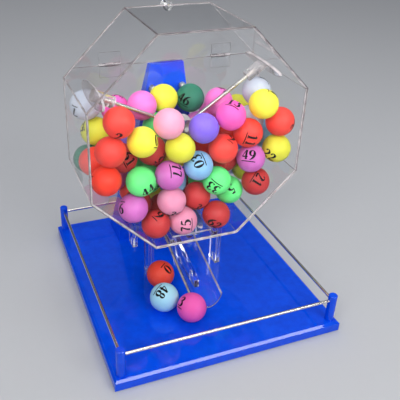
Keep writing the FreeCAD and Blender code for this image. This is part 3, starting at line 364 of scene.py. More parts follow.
class Effects:
    """Node groups that more than one finish uses, each built once.

    A size is how many cells of noise a metre holds. A band holds the two values between
    which a mask goes from one end of its range to the other.
    """

    smudge_size = 14.0
    smudge_band = (0.48, 0.72)
    hair_size = 34.0
    hair_band = (0.66, 0.74)
    hair_turn = (0.3, 0.5, 0.7)
    hair_stretch = (1.0, 26.0, 9.0)
    hair_height = -0.2
    speck_size = 620.0
    speck_band = (0.05, 0.14)
    patch_size = 31.0
    patch_band = (0.52, 0.66)
    upward_band = (0.6, 1.0)
    grain_size = 2600.0
    mottle_size = 90.0

    _built: dict[str, bpy.types.NodeTree] = {}

    @classmethod
    def get(cls, name: str) -> bpy.types.NodeTree:
        """Group with this name, built when it is first asked for.

        Args:
            name: Name of the group.

        Returns:
            The group.
        """
        if name not in cls._built:
            cls._built[name] = getattr(cls, "_" + name)()
        return cls._built[name]

    @classmethod
    def _handling_marks(cls) -> bpy.types.NodeTree:
        """Smudges and hairline scratches: outputs Roughness to add, and a Height in millimetres.

        Returns:
            The group.
        """
        inputs = {"Smudge": 0.05, "Scratch": 0.05, "Scale": 1.0}
        group, nodes, start, end = new_group("handling_marks", inputs, ("Roughness", "Height"))
        given = start.outputs
        cloud_size = nodes.math("MULTIPLY", given["Scale"], cls.smudge_size)
        smudge = nodes.ramp(nodes.noise(given["Vector"], cloud_size, 4.0), *cls.smudge_band)
        stretching = {"Vector": given["Vector"], "Rotation": cls.hair_turn, "Scale": cls.hair_stretch}
        stretched = nodes.add("ShaderNodeMapping", stretching).outputs[0]
        hair_size = nodes.math("MULTIPLY", given["Scale"], cls.hair_size)
        scratch = nodes.ramp(nodes.noise(stretched, hair_size, 2.0, 0.4), *cls.hair_band)
        haze = nodes.math("MULTIPLY", smudge, given["Smudge"])
        lines = nodes.math("MULTIPLY", scratch, given["Scratch"])
        nodes.feed(end.inputs["Roughness"], nodes.math("ADD", haze, lines))
        nodes.feed(end.inputs["Height"], nodes.math("MULTIPLY", lines, cls.hair_height))
        return group

    @classmethod
    def _fine_dust(cls) -> bpy.types.NodeTree:
        """Settled specks of dust on what faces up: output Mask.

        Returns:
            The group.
        """
        group, nodes, start, end = new_group("fine_dust", {"Amount": 0.3, "Scale": 1.0}, ("Mask",))
        given = start.outputs
        size = nodes.math("MULTIPLY", given["Scale"], cls.speck_size)
        specks = nodes.add("ShaderNodeTexVoronoi", {"Vector": given["Vector"], "Scale": size})
        dots = nodes.ramp(specks.outputs["Distance"], *cls.speck_band, 1.0, 0.0)
        some = nodes.ramp(nodes.noise(given["Vector"], cls.patch_size, 3.0), *cls.patch_band)
        normal = nodes.add("ShaderNodeNewGeometry").outputs["Normal"]
        facing = nodes.add("ShaderNodeSeparateXYZ", {0: normal})
        upward = nodes.ramp(facing.outputs["Z"], *cls.upward_band)
        mask = nodes.math("MULTIPLY", nodes.math("MULTIPLY", dots, some), upward)
        nodes.feed(end.inputs["Mask"], nodes.math("MULTIPLY", mask, given["Amount"]))
        return group

    @classmethod
    def _grain(cls) -> bpy.types.NodeTree:
        """Fine even grain of moulded or turned stock: outputs Height and a slow Mottle.

        Returns:
            The group.
        """
        group, nodes, start, end = new_group("grain", {"Scale": 1.0}, ("Height", "Mottle"))
        given = start.outputs
        size = nodes.math("MULTIPLY", given["Scale"], cls.grain_size)
        nodes.feed(end.inputs["Height"], nodes.noise(given["Vector"], size, 3.0))
        nodes.feed(end.inputs["Mottle"], nodes.noise(given["Vector"], cls.mottle_size, 3.0))
        return group


# --- Finishes ---------------------------------------------------------------------------
class Along(Enum):
    """Which way the marks of a tool run on a metal piece."""

    X = (0.02, 1.0, 1.0)
    Y = (1.0, 0.02, 1.0)
    Z = (1.0, 1.0, 0.02)
    ROUND = (1.0, 1.0, 1.0)


@dataclass(frozen=True)
class Finish:
    """What every finish has: a name, and one Blender material built from it."""

    name: str

    def material(self) -> bpy.types.Material:
        """The finish's material, built when it is first asked for.

        Returns:
            The material.
        """
        found = bpy.data.materials.get(self.name)
        if found is not None:
            return found
        made = bpy.data.materials.new(self.name)
        made.use_nodes = True
        made.node_tree.nodes.clear()
        nodes = Nodes(made.node_tree)
        output = nodes.add("ShaderNodeOutputMaterial")
        nodes.feed(output.inputs["Surface"], self.surface(nodes))
        return made

    def surface(self, nodes: Nodes) -> bpy.types.NodeSocket:
        """Shader that the material shows.

        Args:
            nodes: Helper of the material's tree.

        Returns:
            The shader.
        """
        raise NotImplementedError


def object_place(nodes: Nodes) -> bpy.types.NodeSocket:
    """Place on the piece, in metres."""
    return nodes.add("ShaderNodeTexCoord").outputs["Object"]


def effect(nodes: Nodes, name: str, place: Any, **values: float) -> bpy.types.Node:
    """Places a shared effect with its own values.

    Args:
        nodes: Helper of the material's tree.
        name: Which effect.
        place: Socket that gives the place.
        **values: The effect's inputs.

    Returns:
        The group node.
    """
    node = nodes.add("ShaderNodeGroup", node_tree=Effects.get(name))
    nodes.feed(node.inputs["Vector"], place)
    for key, value in values.items():
        nodes.feed(node.inputs[key], value)
    return node


@dataclass(frozen=True)
class BlueAcrylic(Finish):
    """Solid coloured acrylic sheet, polished, with light wear."""

    colour: Colour = (0.001, 0.09, 0.90)
    deep: Colour = (0.001, 0.07, 0.80)
    dust: Colour = (0.55, 0.58, 0.62)
    roughness: float = 0.015
    dust_roughness: float = 0.5
    gloss: float = 0.35

    def surface(self, nodes: Nodes) -> bpy.types.NodeSocket:
        """Gloss with smudges, hairlines and a little dust on what faces up.

        Args:
            nodes: Helper of the material's tree.

        Returns:
            The shader.
        """
        place = object_place(nodes)
        marks = effect(nodes, "handling_marks", place, Smudge=0.04, Scratch=0.12)
        dust = effect(nodes, "fine_dust", place, Amount=0.2).outputs["Mask"]
        mottle = effect(nodes, "grain", place, Scale=0.2).outputs["Mottle"]
        shade = nodes.mix(nodes.ramp(mottle, 0.35, 0.70), rgba(self.colour), rgba(self.deep))
        rough = nodes.math("ADD", marks.outputs["Roughness"], self.roughness)
        dusty = nodes.math("MULTIPLY", dust, self.dust_roughness)
        return nodes.principled(
            {
                "Base Color": nodes.mix(dust, shade, rgba(self.dust)),
                "Roughness": nodes.math("ADD", rough, dusty),
                "IOR": ACRYLIC_IOR,
                "Specular IOR Level": self.gloss,
                "Normal": nodes.bump(marks.outputs["Height"], 0.3, MM),
            }
        )


@dataclass(frozen=True)
class ClearAcrylic(Finish):
    """Clear polished acrylic that lets lamp light through to what is behind it."""

    colour: Colour = (0.985, 0.987, 0.992)
    roughness: float = 0.006
    smudge: float = 0.03
    bending: float = ACRYLIC_IOR
    clearness: float = 1.0

    def surface(self, nodes: Nodes) -> bpy.types.NodeSocket:
        """Refracting shader, swapped for a plain transparent one on rays to the lamps.

        Args:
            nodes: Helper of the material's tree.

        Returns:
            The shader.
        """
        marks = effect(nodes, "handling_marks", object_place(nodes), Smudge=self.smudge, Scratch=0.10)
        glass = nodes.principled(
            {
                "Base Color": rgba(self.colour),
                "Roughness": nodes.math("ADD", marks.outputs["Roughness"], self.roughness),
                "IOR": self.bending,
                "Transmission Weight": self.clearness,
            }
        )
        through = nodes.add("ShaderNodeBsdfTransparent", {"Color": rgba(self.colour)}).outputs[0]
        to_lamp = nodes.add("ShaderNodeLightPath").outputs["Is Shadow Ray"]
        return nodes.add("ShaderNodeMixShader", {0: to_lamp, 1: glass, 2: through}).outputs[0]


@dataclass(frozen=True)
class AcrylicEdge(Finish):
    """Sawn and flame-polished edge of a clear sheet, drawn as a line whose colour is painted light: pale for
    the glow of the light the sheet gathers, darker for painted shade; only the faint saw marks are the
    edge's own.
    """

    # Pale by default: painted glow of the light that the edge gathers.
    colour: Colour = (0.80, 0.745, 0.75)
    saw: Colour = (0.46, 0.42, 0.43)
    roughness: float = 0.16
    clearness: float = 0.2

    def surface(self, nodes: Nodes) -> bpy.types.NodeSocket:
        """Cloudy shader, a little clear, with faint saw marks along it.

        Args:
            nodes: Helper of the material's tree.

        Returns:
            The shader.
        """
        place = object_place(nodes)
        marks = effect(nodes, "handling_marks", place, Smudge=0.2, Scratch=0.25, Scale=2.0)
        grain = effect(nodes, "grain", place, Scale=0.35)
        sawn = nodes.ramp(grain.outputs["Mottle"], 0.35, 0.65)
        return nodes.principled(
            {
                "Base Color": nodes.mix(sawn, rgba(self.colour), rgba(self.saw)),
                "Roughness": nodes.math("ADD", marks.outputs["Roughness"], self.roughness),
                "IOR": ACRYLIC_IOR,
                "Transmission Weight": self.clearness,
                "Normal": nodes.bump(grain.outputs["Height"], 0.25, 0.1 * MM),
            }
        )


@dataclass(frozen=True)
class Metal(Finish):
    """Bright metal with the fine marks of its drawing, turning or plating."""

    colour: Colour = (0.84, 0.81, 0.76)
    dull: Colour = (0.60, 0.57, 0.53)
    roughness: float = 0.09
    along: Along = Along.ROUND
    mark_size: float = 2400.0
    mark_roughness: float = 0.06
    metallic: float = 1.0

    def surface(self, nodes: Nodes) -> bpy.types.NodeSocket:
        """Metal whose noise is drawn out along the way the tool ran.

        Args:
            nodes: Helper of the material's tree.

        Returns:
            The shader.
        """
        place = object_place(nodes)
        drawn = nodes.add("ShaderNodeMapping", {"Vector": place, "Scale": self.along.value})
        fine = nodes.noise(drawn.outputs[0], self.mark_size, 3.0)
        wear = effect(nodes, "handling_marks", place, Smudge=0.10, Scratch=0.15, Scale=2.0)
        colour = nodes.mix(nodes.ramp(fine, 0.4, 0.75, 0.0, 0.6), rgba(self.colour), rgba(self.dull))
        rough = nodes.math("ADD", nodes.ramp(fine, 0.3, 0.7, 0.0, self.mark_roughness), self.roughness)
        return nodes.principled(
            {
                "Base Color": colour,
                "Metallic": self.metallic,
                "Roughness": nodes.math("ADD", rough, wear.outputs["Roughness"]),
                "Normal": nodes.bump(fine, 0.12, 0.03 * MM),
            }
        )


@dataclass(frozen=True)
class MattPlastic(Finish):
    """Moulded or turned plastic or rubber with a fine grain."""

    colour: Colour
    worn: Colour
    roughness: float

    def surface(self, nodes: Nodes) -> bpy.types.NodeSocket:
        """Dark body, a little paler where it is rubbed.

        Args:
            nodes: Helper of the material's tree.

        Returns:
            The shader.
        """
        place = object_place(nodes)
        grain = effect(nodes, "grain", place)
        marks = effect(nodes, "handling_marks", place, Smudge=0.12, Scratch=0.10, Scale=2.0)
        rubbed = nodes.ramp(grain.outputs["Mottle"], 0.45, 0.75, 0.0, 0.7)
        return nodes.principled(
            {
                "Base Color": nodes.mix(rubbed, rgba(self.colour), rgba(self.worn)),
                "Roughness": nodes.math("ADD", marks.outputs["Roughness"], self.roughness),
                "Normal": nodes.bump(grain.outputs["Height"], 0.35, 0.08 * MM),
            }
        )


@dataclass(frozen=True)
class BallCelluloid(Finish):
    """Thin dyed shell of a draw ball: matt, faintly glowing, with pores and scuffs."""

    roughness: float = 0.55
    speck: Colour = (0.9, 0.9, 0.9)
    deepening: float = 1.15
    glow: float = 0.12
    glow_depth: float = 2.5 * MM
    glow_spread: Colour = (1.0, 0.7, 0.6)

    def surface(self, nodes: Nodes) -> bpy.types.NodeSocket:
        """Each ball's own dye from its attribute, mottled, with a fine powdery bump.

        Args:
            nodes: Helper of the material's tree.

        Returns:
            The shader.
        """
        place = object_place(nodes)
        grain = effect(nodes, "grain", place, Scale=0.9)
        marks = effect(nodes, "handling_marks", place, Smudge=0.10, Scratch=0.06, Scale=2.5)
        dye = nodes.add("ShaderNodeAttribute", attribute_name="dye").outputs["Color"]
        deep = nodes.add("ShaderNodeGamma", {"Color": dye, "Gamma": self.deepening}).outputs[0]
        mottled = nodes.mix(nodes.ramp(grain.outputs["Mottle"], 0.35, 0.70, 0.0, 0.8), dye, deep)
        specks = nodes.ramp(grain.outputs["Height"], 0.64, 0.72, 0.0, 0.16)
        return nodes.principled(
            {
                "Base Color": nodes.mix(specks, mottled, rgba(self.speck)),
                "Roughness": nodes.math("ADD", marks.outputs["Roughness"], self.roughness),
                "IOR": 1.48,
                "Subsurface Weight": self.glow,
                "Subsurface Radius": self.glow_spread,
                "Subsurface Scale": self.glow_depth,
                "Normal": nodes.bump(grain.outputs["Height"], 0.22, 0.06 * MM),
            }
        )


@dataclass(frozen=True)
class PrintedInk(Finish):
    """Black stamped ink, thin in places."""

    colour: Colour = (0.004, 0.004, 0.005)
    thin: Colour = (0.012, 0.012, 0.014)
    gloss: float = 0.15

    def surface(self, nodes: Nodes) -> bpy.types.NodeSocket:
        """Ink whose blackness and gloss vary a little.

        Args:
            nodes: Helper of the material's tree.

        Returns:
            The shader.
        """
        grain = effect(nodes, "grain", object_place(nodes), Scale=0.5)
        thinness = nodes.ramp(grain.outputs["Height"], 0.5, 0.8, 0.0, 0.5)
        return nodes.principled(
            {
                "Base Color": nodes.mix(thinness, rgba(self.colour), rgba(self.thin)),
                "Roughness": nodes.ramp(grain.outputs["Mottle"], 0.3, 0.7, 0.5, 0.7),
                "Specular IOR Level": self.gloss,
            }
        )


@dataclass(frozen=True)
class StudioPaper(Finish):
    """Plain pale floor."""

    colour: Colour = (0.58, 0.59, 0.61)
    cloud: Colour = (0.5, 0.5, 0.52)
    roughness: float = 0.75

    def surface(self, nodes: Nodes) -> bpy.types.NodeSocket:
        """Matt paper with a barely seen mottle.

        Args:
            nodes: Helper of the material's tree.

        Returns:
            The shader.
        """
        mottle = effect(nodes, "grain", object_place(nodes), Scale=0.05).outputs["Mottle"]
        colour = nodes.mix(nodes.ramp(mottle, 0.3, 0.7, 0.0, 0.05), rgba(self.colour), rgba(self.cloud))
        return nodes.principled({"Base Color": colour, "Roughness": self.roughness})


BLUE = BlueAcrylic("blue_acrylic_polished")
# Lighter blue for the eased edges of the blue parts: a painted highlight along each edge.
BLUE_EDGE_HIGHLIGHT = BlueAcrylic("blue_acrylic_painted_edge_highlight", colour=(0.025, 0.16, 0.93), deep=(0.015, 0.12, 0.86))
BLUE_TOWER = BlueAcrylic("blue_acrylic_tower", gloss=0.6)
CLEAR = ClearAcrylic("clear_acrylic_block")
# The drum's sheets bend light less than the blocks, so that they mirror less in front of the balls.
CLEAR_SHEET = ClearAcrylic("clear_acrylic_sheet", bending=1.20)
CLEAR_SIDE = ClearAcrylic("clear_acrylic_side_sheet", bending=1.08)
CLEAR_HAZED = ClearAcrylic(
    "clear_acrylic_hazed", colour=(0.80, 0.775, 0.775), roughness=0.03, smudge=0.10, clearness=0.92
)
CLEAR_TURNED = ClearAcrylic(
    "clear_acrylic_turned", colour=(0.86, 0.83, 0.83), roughness=0.06, smudge=0.12, clearness=0.85
)
# Pale cut edges and knuckles: painted glow of the light that the clear pieces gather.
EDGE_GLOW = AcrylicEdge("clear_acrylic_edge_painted_glow")
# Darker cut edges: painted shade along the chute's rims and rib.
EDGE_PAINTED_SHADE = AcrylicEdge("clear_acrylic_edge_painted_shade", colour=(0.58, 0.53, 0.53), saw=(0.34, 0.31, 0.32))
# Dark grey eased edges of the clear pieces: painted shade that outlines them.
CORNER_SHADE = AcrylicEdge("clear_acrylic_corner_painted_shade", colour=(0.34, 0.31, 0.32), saw=(0.17, 0.15, 0.16))
STEEL_X = Metal("stainless_drawn_x", along=Along.X)
STEEL_Y = Metal("stainless_drawn_y", along=Along.Y)
STEEL_Z = Metal("stainless_drawn_z", along=Along.Z)
STEEL = Metal("stainless_turned", roughness=0.19)
SCREW = Metal(
    "screw_zinc_plated", colour=(0.95, 0.95, 0.93), dull=(0.85, 0.85, 0.83), roughness=0.35, metallic=0.4
)
NICKEL = Metal("nut_satin_plated", colour=(0.60, 0.62, 0.54), dull=(0.42, 0.44, 0.38), roughness=0.42)
BRASS = Metal("brass_turned", colour=(0.78, 0.58, 0.27), dull=(0.55, 0.38, 0.15), roughness=0.22)
RUBBER = MattPlastic("rubber_moulded", colour=(0.018, 0.018, 0.019), worn=(0.05, 0.05, 0.05), roughness=0.75)
GRIP = MattPlastic("grip_turned", colour=(0.015, 0.015, 0.016), worn=(0.06, 0.06, 0.06), roughness=0.33)
CELLULOID = BallCelluloid("ball_celluloid")
INK = PrintedInk("printed_ink")
PAPER = StudioPaper("studio_paper")


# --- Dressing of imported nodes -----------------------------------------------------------
class EdgeFaces(Enum):
    """Which faces of a clear piece are its cut edges."""

    NONE = "none"
    SHEET = "sheet"
    TROUGH = "trough"
    SMALL = "small"


@dataclass(frozen=True)
class EdgeLimits:
    """Where a cut edge begins.

    sheet_face, rim_sideways and end_upward bound how far a face looks one way, from 0 to 1.
    rim_outside is in half widths of the piece, and small_area in areas of its largest face.
    """

    sheet_face: float = 0.9
    rim_sideways: float = 0.05
    rim_outside: float = 0.75
    end_upward: float = 0.02
    small_area: float = 0.2


@dataclass
class Packed:
    """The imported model, and how its nodes get their finished copies."""

    frame: dict[str, Any]
    air_gap: float = 0.04 * MM
    merge_gap: float = 0.001 * MM
    flat_deg: float = 0.4
    crease_deg: float = 32.0
    eased_from_deg: float = 40.0

    def body(self, node: str) -> str:
        """Name of the body that a node belongs to."""
        groups = self.frame["record"]["behaviour"]["bodies"]
        return next(name for name, members in groups.items() if node in members)

    def slot(self, node: str) -> str:
        """Name of the record's material slot that a node has."""
        rows = self.frame["record"]["subparts"]
        return next(row["material_slot"] for row in rows if row["node"] == node)

    def corners(self, node: str) -> tuple[Array, Array]:
        """A node's lowest and highest corners, in metres."""
        low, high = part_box(node)
        return np.array(low), np.array(high)

    def merged_mesh(self, node: str, name: str) -> bpy.types.Mesh:
        """Copy of a node's mesh with its loose triangles joined and its flats made whole.

        Args:
            node: Node that is copied.
            name: Name of the new mesh.

        Returns:
            The new mesh.
        """
        work = bmesh.new()
        work.from_mesh(self.frame["nodes"][node].data)
        bmesh.ops.remove_doubles(work, verts=work.verts, dist=self.merge_gap)
        bmesh.ops.dissolve_limit(
            work,
            angle_limit=math.radians(self.flat_deg),
            use_dissolve_boundaries=False,
            verts=work.verts,
            edges=work.edges,
        )
        mesh = bpy.data.meshes.new(name)
        work.to_mesh(mesh)
        work.free()
        return mesh

    def finish(
        self,
        node: str,
        finish: Finish,
        bevel_mm: float = 0.0,
        edge: Finish | None = None,
        edge_faces: EdgeFaces = EdgeFaces.NONE,
        steps: int = 2,
        corner: Finish | None = None,
    ) -> bpy.types.Object:
        """Gives a node its finished copy: eased edges, smooth rounds and its material.

        Args:
            node: Node that the copy stands for.
            finish: Finish of its faces.
            bevel_mm: How wide its sharp edges are eased, or 0 for none.
            edge: Finish of the eased edges and of the cut edges.
            edge_faces: Which faces are cut edges.
            steps: How many faces an eased edge has.
            corner: Finish of the eased edges, where it isn't that of the cut edges.

        Returns:
            The finished piece.
        """
        name = node + "_finished"
        mesh = self.merged_mesh(node, name)
        if isinstance(finish, ClearAcrylic):
            draw_in(mesh, self.air_gap)
        mesh.polygons.foreach_set("use_smooth", np.full(len(mesh.polygons), True))
        mesh.set_sharp_from_angle(angle=math.radians(self.crease_deg))
        mesh.materials.clear()
        mesh.materials.append(finish.material())
        if edge is not None:
            mesh.materials.append(edge.material())
            mesh.polygons.foreach_set("material_index", cut_edges(mesh, edge_faces).astype(np.int32))
        if corner is not None:
            mesh.materials.append(corner.material())
        piece = bpy.data.objects.new(name, mesh)
        bpy.context.scene.collection.objects.link(piece)
        if bevel_mm:
            self.ease(piece, bevel_mm * MM, steps)
        self.place(piece, node)
        return piece

    def ease(self, piece: bpy.types.Object, width: float, steps: int) -> None:
        """Eases the sharp edges of a piece, in the last of its materials.

        Args:
            piece: The piece.
            width: How wide the eased edges are, in metres.
            steps: How many faces an eased edge has.
        """
        bevel = piece.modifiers.new("eased_edges", "BEVEL")
        bevel.width = width
        bevel.segments = steps
        bevel.limit_method = "ANGLE"
        bevel.angle_limit = math.radians(self.eased_from_deg)
        bevel.harden_normals = True
        bevel.use_clamp_overlap = True
        if len(piece.data.materials) > 1:
            bevel.material = len(piece.data.materials) - 1

    def place(self, piece: bpy.types.Object, node: str, stands_for: bool = True) -> None:
        """Lets a piece ride with its node's body; its node's slot is looked up but not given to it.

        Args:
            piece: The piece.
            node: Node that it belongs to.
            stands_for: Whether it is shown in the node's stead.
        """
        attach(piece, self.body(node))
        self.slot(node)
        if stands_for:
            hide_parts(node)
        log.info("%s: %d faces, rides on %s", piece.name, len(piece.data.polygons), self.body(node))


def draw_in(mesh: bpy.types.Mesh, distance: float) -> None:
    """Moves each point of a clear piece inwards, so that air stays between it and what it touches.

    Args:
        mesh: Mesh of the piece.
        distance: How far each point moves against its normal, in metres.
    """
    points = read_all(mesh.vertices, "co", 3)
    normals = read_all(mesh.vertex_normals, "vector", 3)
    mesh.vertices.foreach_set("co", (points - distance * normals).ravel())
    mesh.update()


def cut_edges(mesh: bpy.types.Mesh, kind: EdgeFaces, limits: EdgeLimits = EdgeLimits()) -> Array:
    """Marks the faces of a clear piece that are its cut edges.

    Args:
        mesh: Mesh of the piece.
        kind: How its edges are told from its faces.
        limits: Where a cut edge begins.

    Returns:
        True for each face that is a cut edge.
    """
    normals = read_all(mesh.polygons, "normal", 3)
    areas = read_all(mesh.polygons, "area")
    if kind is EdgeFaces.SHEET:
        # A sheet's two faces look the way its largest face looks.
        return np.abs(normals @ normals[np.argmax(areas)]) < limits.sheet_face
    if kind is EdgeFaces.TROUGH:
        # A trough's rims lie outside and look straight up its slope; its ends stand upright.
        sideways = np.abs(read_all(mesh.polygons, "center", 3)[:, 0])
        outside = sideways > limits.rim_outside * sideways.max()
        rims = (np.abs(normals[:, 0]) < limits.rim_sideways) & outside
        return rims | (np.abs(normals[:, 2]) < limits.end_upward)
    if kind is EdgeFaces.SMALL:
        # A paddle's faces are by far the largest ones of its piece.
        return areas < limits.small_area * areas.max()
    return np.zeros(len(mesh.polygons), dtype=bool)


# --- Base, tray and tower ---------------------------------------------------------------
@dataclass
class WoodScrews:
    """Countersunk screws up through the base, their threads seen through the clear blocks.

    neck_length is in head radii, and point_length in core radii.
    """

    thread_pitch: float = 1.4 * MM
    thread_depth: float = 0.35 * MM
    core_radius: float = 1.62 * MM
    head_radius: float = 3.95 * MM
    tip_radius: float = 0.1 * MM
    neck_length: float = 0.55
    point_length: float = 3.0
    crease_deg: float = 50.0
    segments: int = 20

    def profile(self, length: float) -> Array:
        """Outline of a screw: head cone, short neck, saw-toothed thread and a cone point.

        Args:
            length: Length from the head's face to the tip.

        Returns:
            Array of (height, radius) pairs.
        """
        neck = self.head_radius * self.neck_length
        point = length - self.point_length * self.core_radius
        turns = int((point - 2 * neck) / self.thread_pitch)
        height = 2 * neck + np.arange(2 * turns) * self.thread_pitch / 2
        crest = self.core_radius + self.thread_depth * (np.arange(2 * turns) % 2)
        head = np.array([(0.0, self.head_radius), (neck, self.core_radius), (2 * neck, self.core_radius)])
        tip = np.array([(point, self.core_radius), (length, self.tip_radius)])
        return np.concatenate([head, np.stack([height, crest], axis=1)[1:], tip])

    def build(self, packed: Packed) -> None:
        """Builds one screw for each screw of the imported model.

        Args:
            packed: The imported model.
        """
        low, high = packed.corners("base_screws")
        profile = self.profile(high[2] - low[2])
        feet = [np.array([x, y, low[2]]) for x, y, _ in island_centres(packed, "base_screws")]
        points, faces = joined(revolved(profile, foot, self.segments) for foot in feet)
        piece = mesh_object("base_screws_threaded", points, faces)
        piece.data.set_sharp_from_angle(angle=math.radians(self.crease_deg))
        piece.data.materials.append(SCREW.material())
        packed.place(piece, "base_screws")


@dataclass
class Base:
    """Blue board on rubber feet with its four posts and the rails between them."""

    screws: WoodScrews = field(default_factory=WoodScrews)

    def build(self, packed: Packed) -> None:
        """Finishes the board, the posts, the rails, the feet and the screws.

        Args:
            packed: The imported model.
        """
        # The board's and posts' eased edges take the lighter blue, a painted highlight.
        packed.finish("base_board", BLUE, 0.7, BLUE_EDGE_HIGHLIGHT, steps=3)
        packed.finish("corner_posts", BLUE, 0.5, BLUE_EDGE_HIGHLIGHT)
        packed.finish("rails_front_and_rear", STEEL_X, 0.2)
        packed.finish("rails_left_and_right", STEEL_Y, 0.2)
        packed.finish("rubber_feet", RUBBER, 0.6)
        self.screws.build(packed)


@dataclass
class Tower:
    """Leaning blue box behind the drum, and the bolts that hold the drum to it."""

    plates: tuple[str, ...] = ("front", "rear", "left", "right", "top")

    def build(self, packed: Packed) -> None:
        """Finishes the plates, bolts, nuts, spacers and bearings.

        Args:
            packed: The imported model.
        """
        # Each plate's eased edges take the lighter blue, a painted highlight.
        for side in self.plates:
            packed.finish(f"tower_{side}_plate", BLUE_TOWER, 0.5, BLUE_EDGE_HIGHLIGHT)
        packed.finish("tower_bolts", STEEL_Y, 0.4)
        packed.finish("cap_nuts", NICKEL, 0.4)
        packed.finish("tower_spacers", STEEL_Y, 0.3)
        packed.finish("front_bearing", BRASS, 0.3)
        packed.finish("rear_bearing", BRASS, 0.5)


# --- Drum, door, legs, chute and gate ---------------------------------------------------
@dataclass
class Drum:
    """Clear eight-sided drum on its four legs, with the hinged door at its upper back."""

    walls: dict[str, Finish] = field(
        default_factory=lambda: {
            "upper_right": CLEAR_SHEET,
            "top": CLEAR_SHEET,
            "upper_left": CLEAR_SHEET,
            "left": CLEAR_SIDE,
            "lower_left": CLEAR,
            "floor": CLEAR,
            "lower_right": CLEAR,
            "right": CLEAR_SIDE,
        }
    )
    legs: tuple[str, ...] = ("front_left", "front_right", "rear_left", "rear_right")
    knuckle_reach: float = 2.8 * MM

    def build(self, packed: Packed) -> None:
        """Finishes the panels, walls, legs, door and hinges.

        Args:
            packed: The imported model.
        """
        # Cut edges take the pale edge finish, a painted glow, and eased edges the dark corner one, a painted
        # shade.
        sheets = (("drum_front_panel", CLEAR_SHEET), ("drum_back_panel", CLEAR), ("door_panel", CLEAR))
        for panel, finish in sheets:
            packed.finish(panel, finish, 0.42, EDGE_GLOW, EdgeFaces.SHEET, steps=1, corner=CORNER_SHADE)
        for wall, finish in self.walls.items():
            packed.finish("drum_wall_" + wall, finish, 0.28, EDGE_GLOW, EdgeFaces.SHEET, steps=1, corner=CORNER_SHADE)
        for leg in self.legs:
            packed.finish("leg_" + leg, CLEAR, 0.35, EDGE_GLOW, steps=1)
        packed.finish("door_knob", CLEAR, 0.3)
        packed.finish("door_knob_screw", SCREW, 0.2)
        for leaves in ("hinge_fixed_leaves", "hinge_moving_leaves"):
            piece = packed.finish(leaves, CLEAR_SHEET, 0.4, CORNER_SHADE, EdgeFaces.SHEET, steps=1)
            self.paint_knuckle_glow(packed, piece)
        packed.finish("hinge_pins", STEEL_X, 0.1)

    def paint_knuckle_glow(self, packed: Packed, piece: bpy.types.Object) -> None:
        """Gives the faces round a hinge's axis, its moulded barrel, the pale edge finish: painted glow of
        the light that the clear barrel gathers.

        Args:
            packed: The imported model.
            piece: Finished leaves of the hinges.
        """
        low, high = packed.corners("hinge_pins")
        axis = (low + high)[1:] / 2
        mesh = piece.data
        away = read_all(mesh.polygons, "center", 3)[:, 1:] - axis
        barrel = np.hypot(*away.T) < self.knuckle_reach
        index = read_all(mesh.polygons, "material_index", kind=np.int32)
        # The barrel's faces get the pale edge finish, a painted glow.
        mesh.materials.append(EDGE_GLOW.material())
        knuckle_glow = len(mesh.materials) - 1
        mesh.polygons.foreach_set("material_index", np.where(barrel, knuckle_glow, index))


@dataclass
class Chute:
    """Clear trough on its rib under the exit hole, and the sliding gate over it."""

    def build(self, packed: Packed) -> None:
        """Finishes the trough, the rib, the gate and its runners.

        Args:
            packed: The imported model.
        """
        # The trough's rims and the rib take the darker edge finish, a painted shade; the gate's cut edges
        # take the pale one, a painted glow.
        packed.finish("chute_trough", CLEAR, 0.95, EDGE_PAINTED_SHADE, EdgeFaces.TROUGH, steps=1, corner=CLEAR)
        packed.finish("chute_rib", CLEAR, 0.3, EDGE_PAINTED_SHADE, steps=1)
        packed.finish("gate_plate", CLEAR, 0.25, EDGE_GLOW, EdgeFaces.SHEET, steps=1)
        packed.finish("gate_pull", CLEAR, 0.4)
        packed.finish("gate_runners", CLEAR, 0.25, EDGE_GLOW, steps=1)


# --- Stirrer and crank ------------------------------------------------------------------
@dataclass
class Stirrer:
    """Three clear paddles on steel rods, their hub and shaft, and the crank behind."""

    def build(self, packed: Packed) -> None:
        """Finishes the turning pieces.

        Args:
            packed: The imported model.
        """
        packed.finish("stirrer_shaft", STEEL_Y, 0.3)
        # The hub, sleeves and paddles have pale cut edges, a painted glow; the paddles' eased edges are
        # dark, a painted shade.
        packed.finish("stirrer_hub", CLEAR_TURNED, 0.6, EDGE_GLOW, EdgeFaces.SHEET)
        packed.finish("stirrer_rods", STEEL, 0.2)
        packed.finish("rod_sleeves", CLEAR_TURNED, 0.6, EDGE_GLOW)
        packed.finish("paddles", CLEAR_HAZED, 0.35, EDGE_GLOW, EdgeFaces.SMALL, corner=CORNER_SHADE)
        packed.finish("set_screws", SCREW, 0.1)
        packed.finish("shaft_collar", STEEL, 0.4)
        packed.finish("crank_arm", STEEL_Z, 0.6)
        packed.finish("grip_pin", STEEL_Y, 0.3)
        packed.finish("crank_grip", GRIP)


# --- Balls ------------------------------------------------------------------------------
SAME_POINT_DIGITS = 6
SAME_ORDER_DIGITS = 4
SAME_CENTRE_GAP = 0.1 * MM


def island_numbers(points: Array, edges: Array) -> Array:
    """Number of the island that each point of a mesh belongs to.

    Points in the same place count as one. Joined points take the lowest number among their
    neighbours until none changes, so each island ends with one number of its own.

    Args:
        points: Array of (x, y, z), in metres.
        edges: Pairs of point numbers.

    Returns:
        One whole number for each point.
    """
    _, same = np.unique(np.round(points, SAME_POINT_DIGITS), axis=0, return_inverse=True)
    same = same.ravel()
    first, second = same[edges].T
    label = np.arange(same.max() + 1)
    while True:
        before = label.copy()
        lowest = np.minimum(label[first], label[second])
        np.minimum.at(label, first, lowest)
        np.minimum.at(label, second, lowest)
        label = label[label]
        if np.array_equal(before, label):
            return label[same]


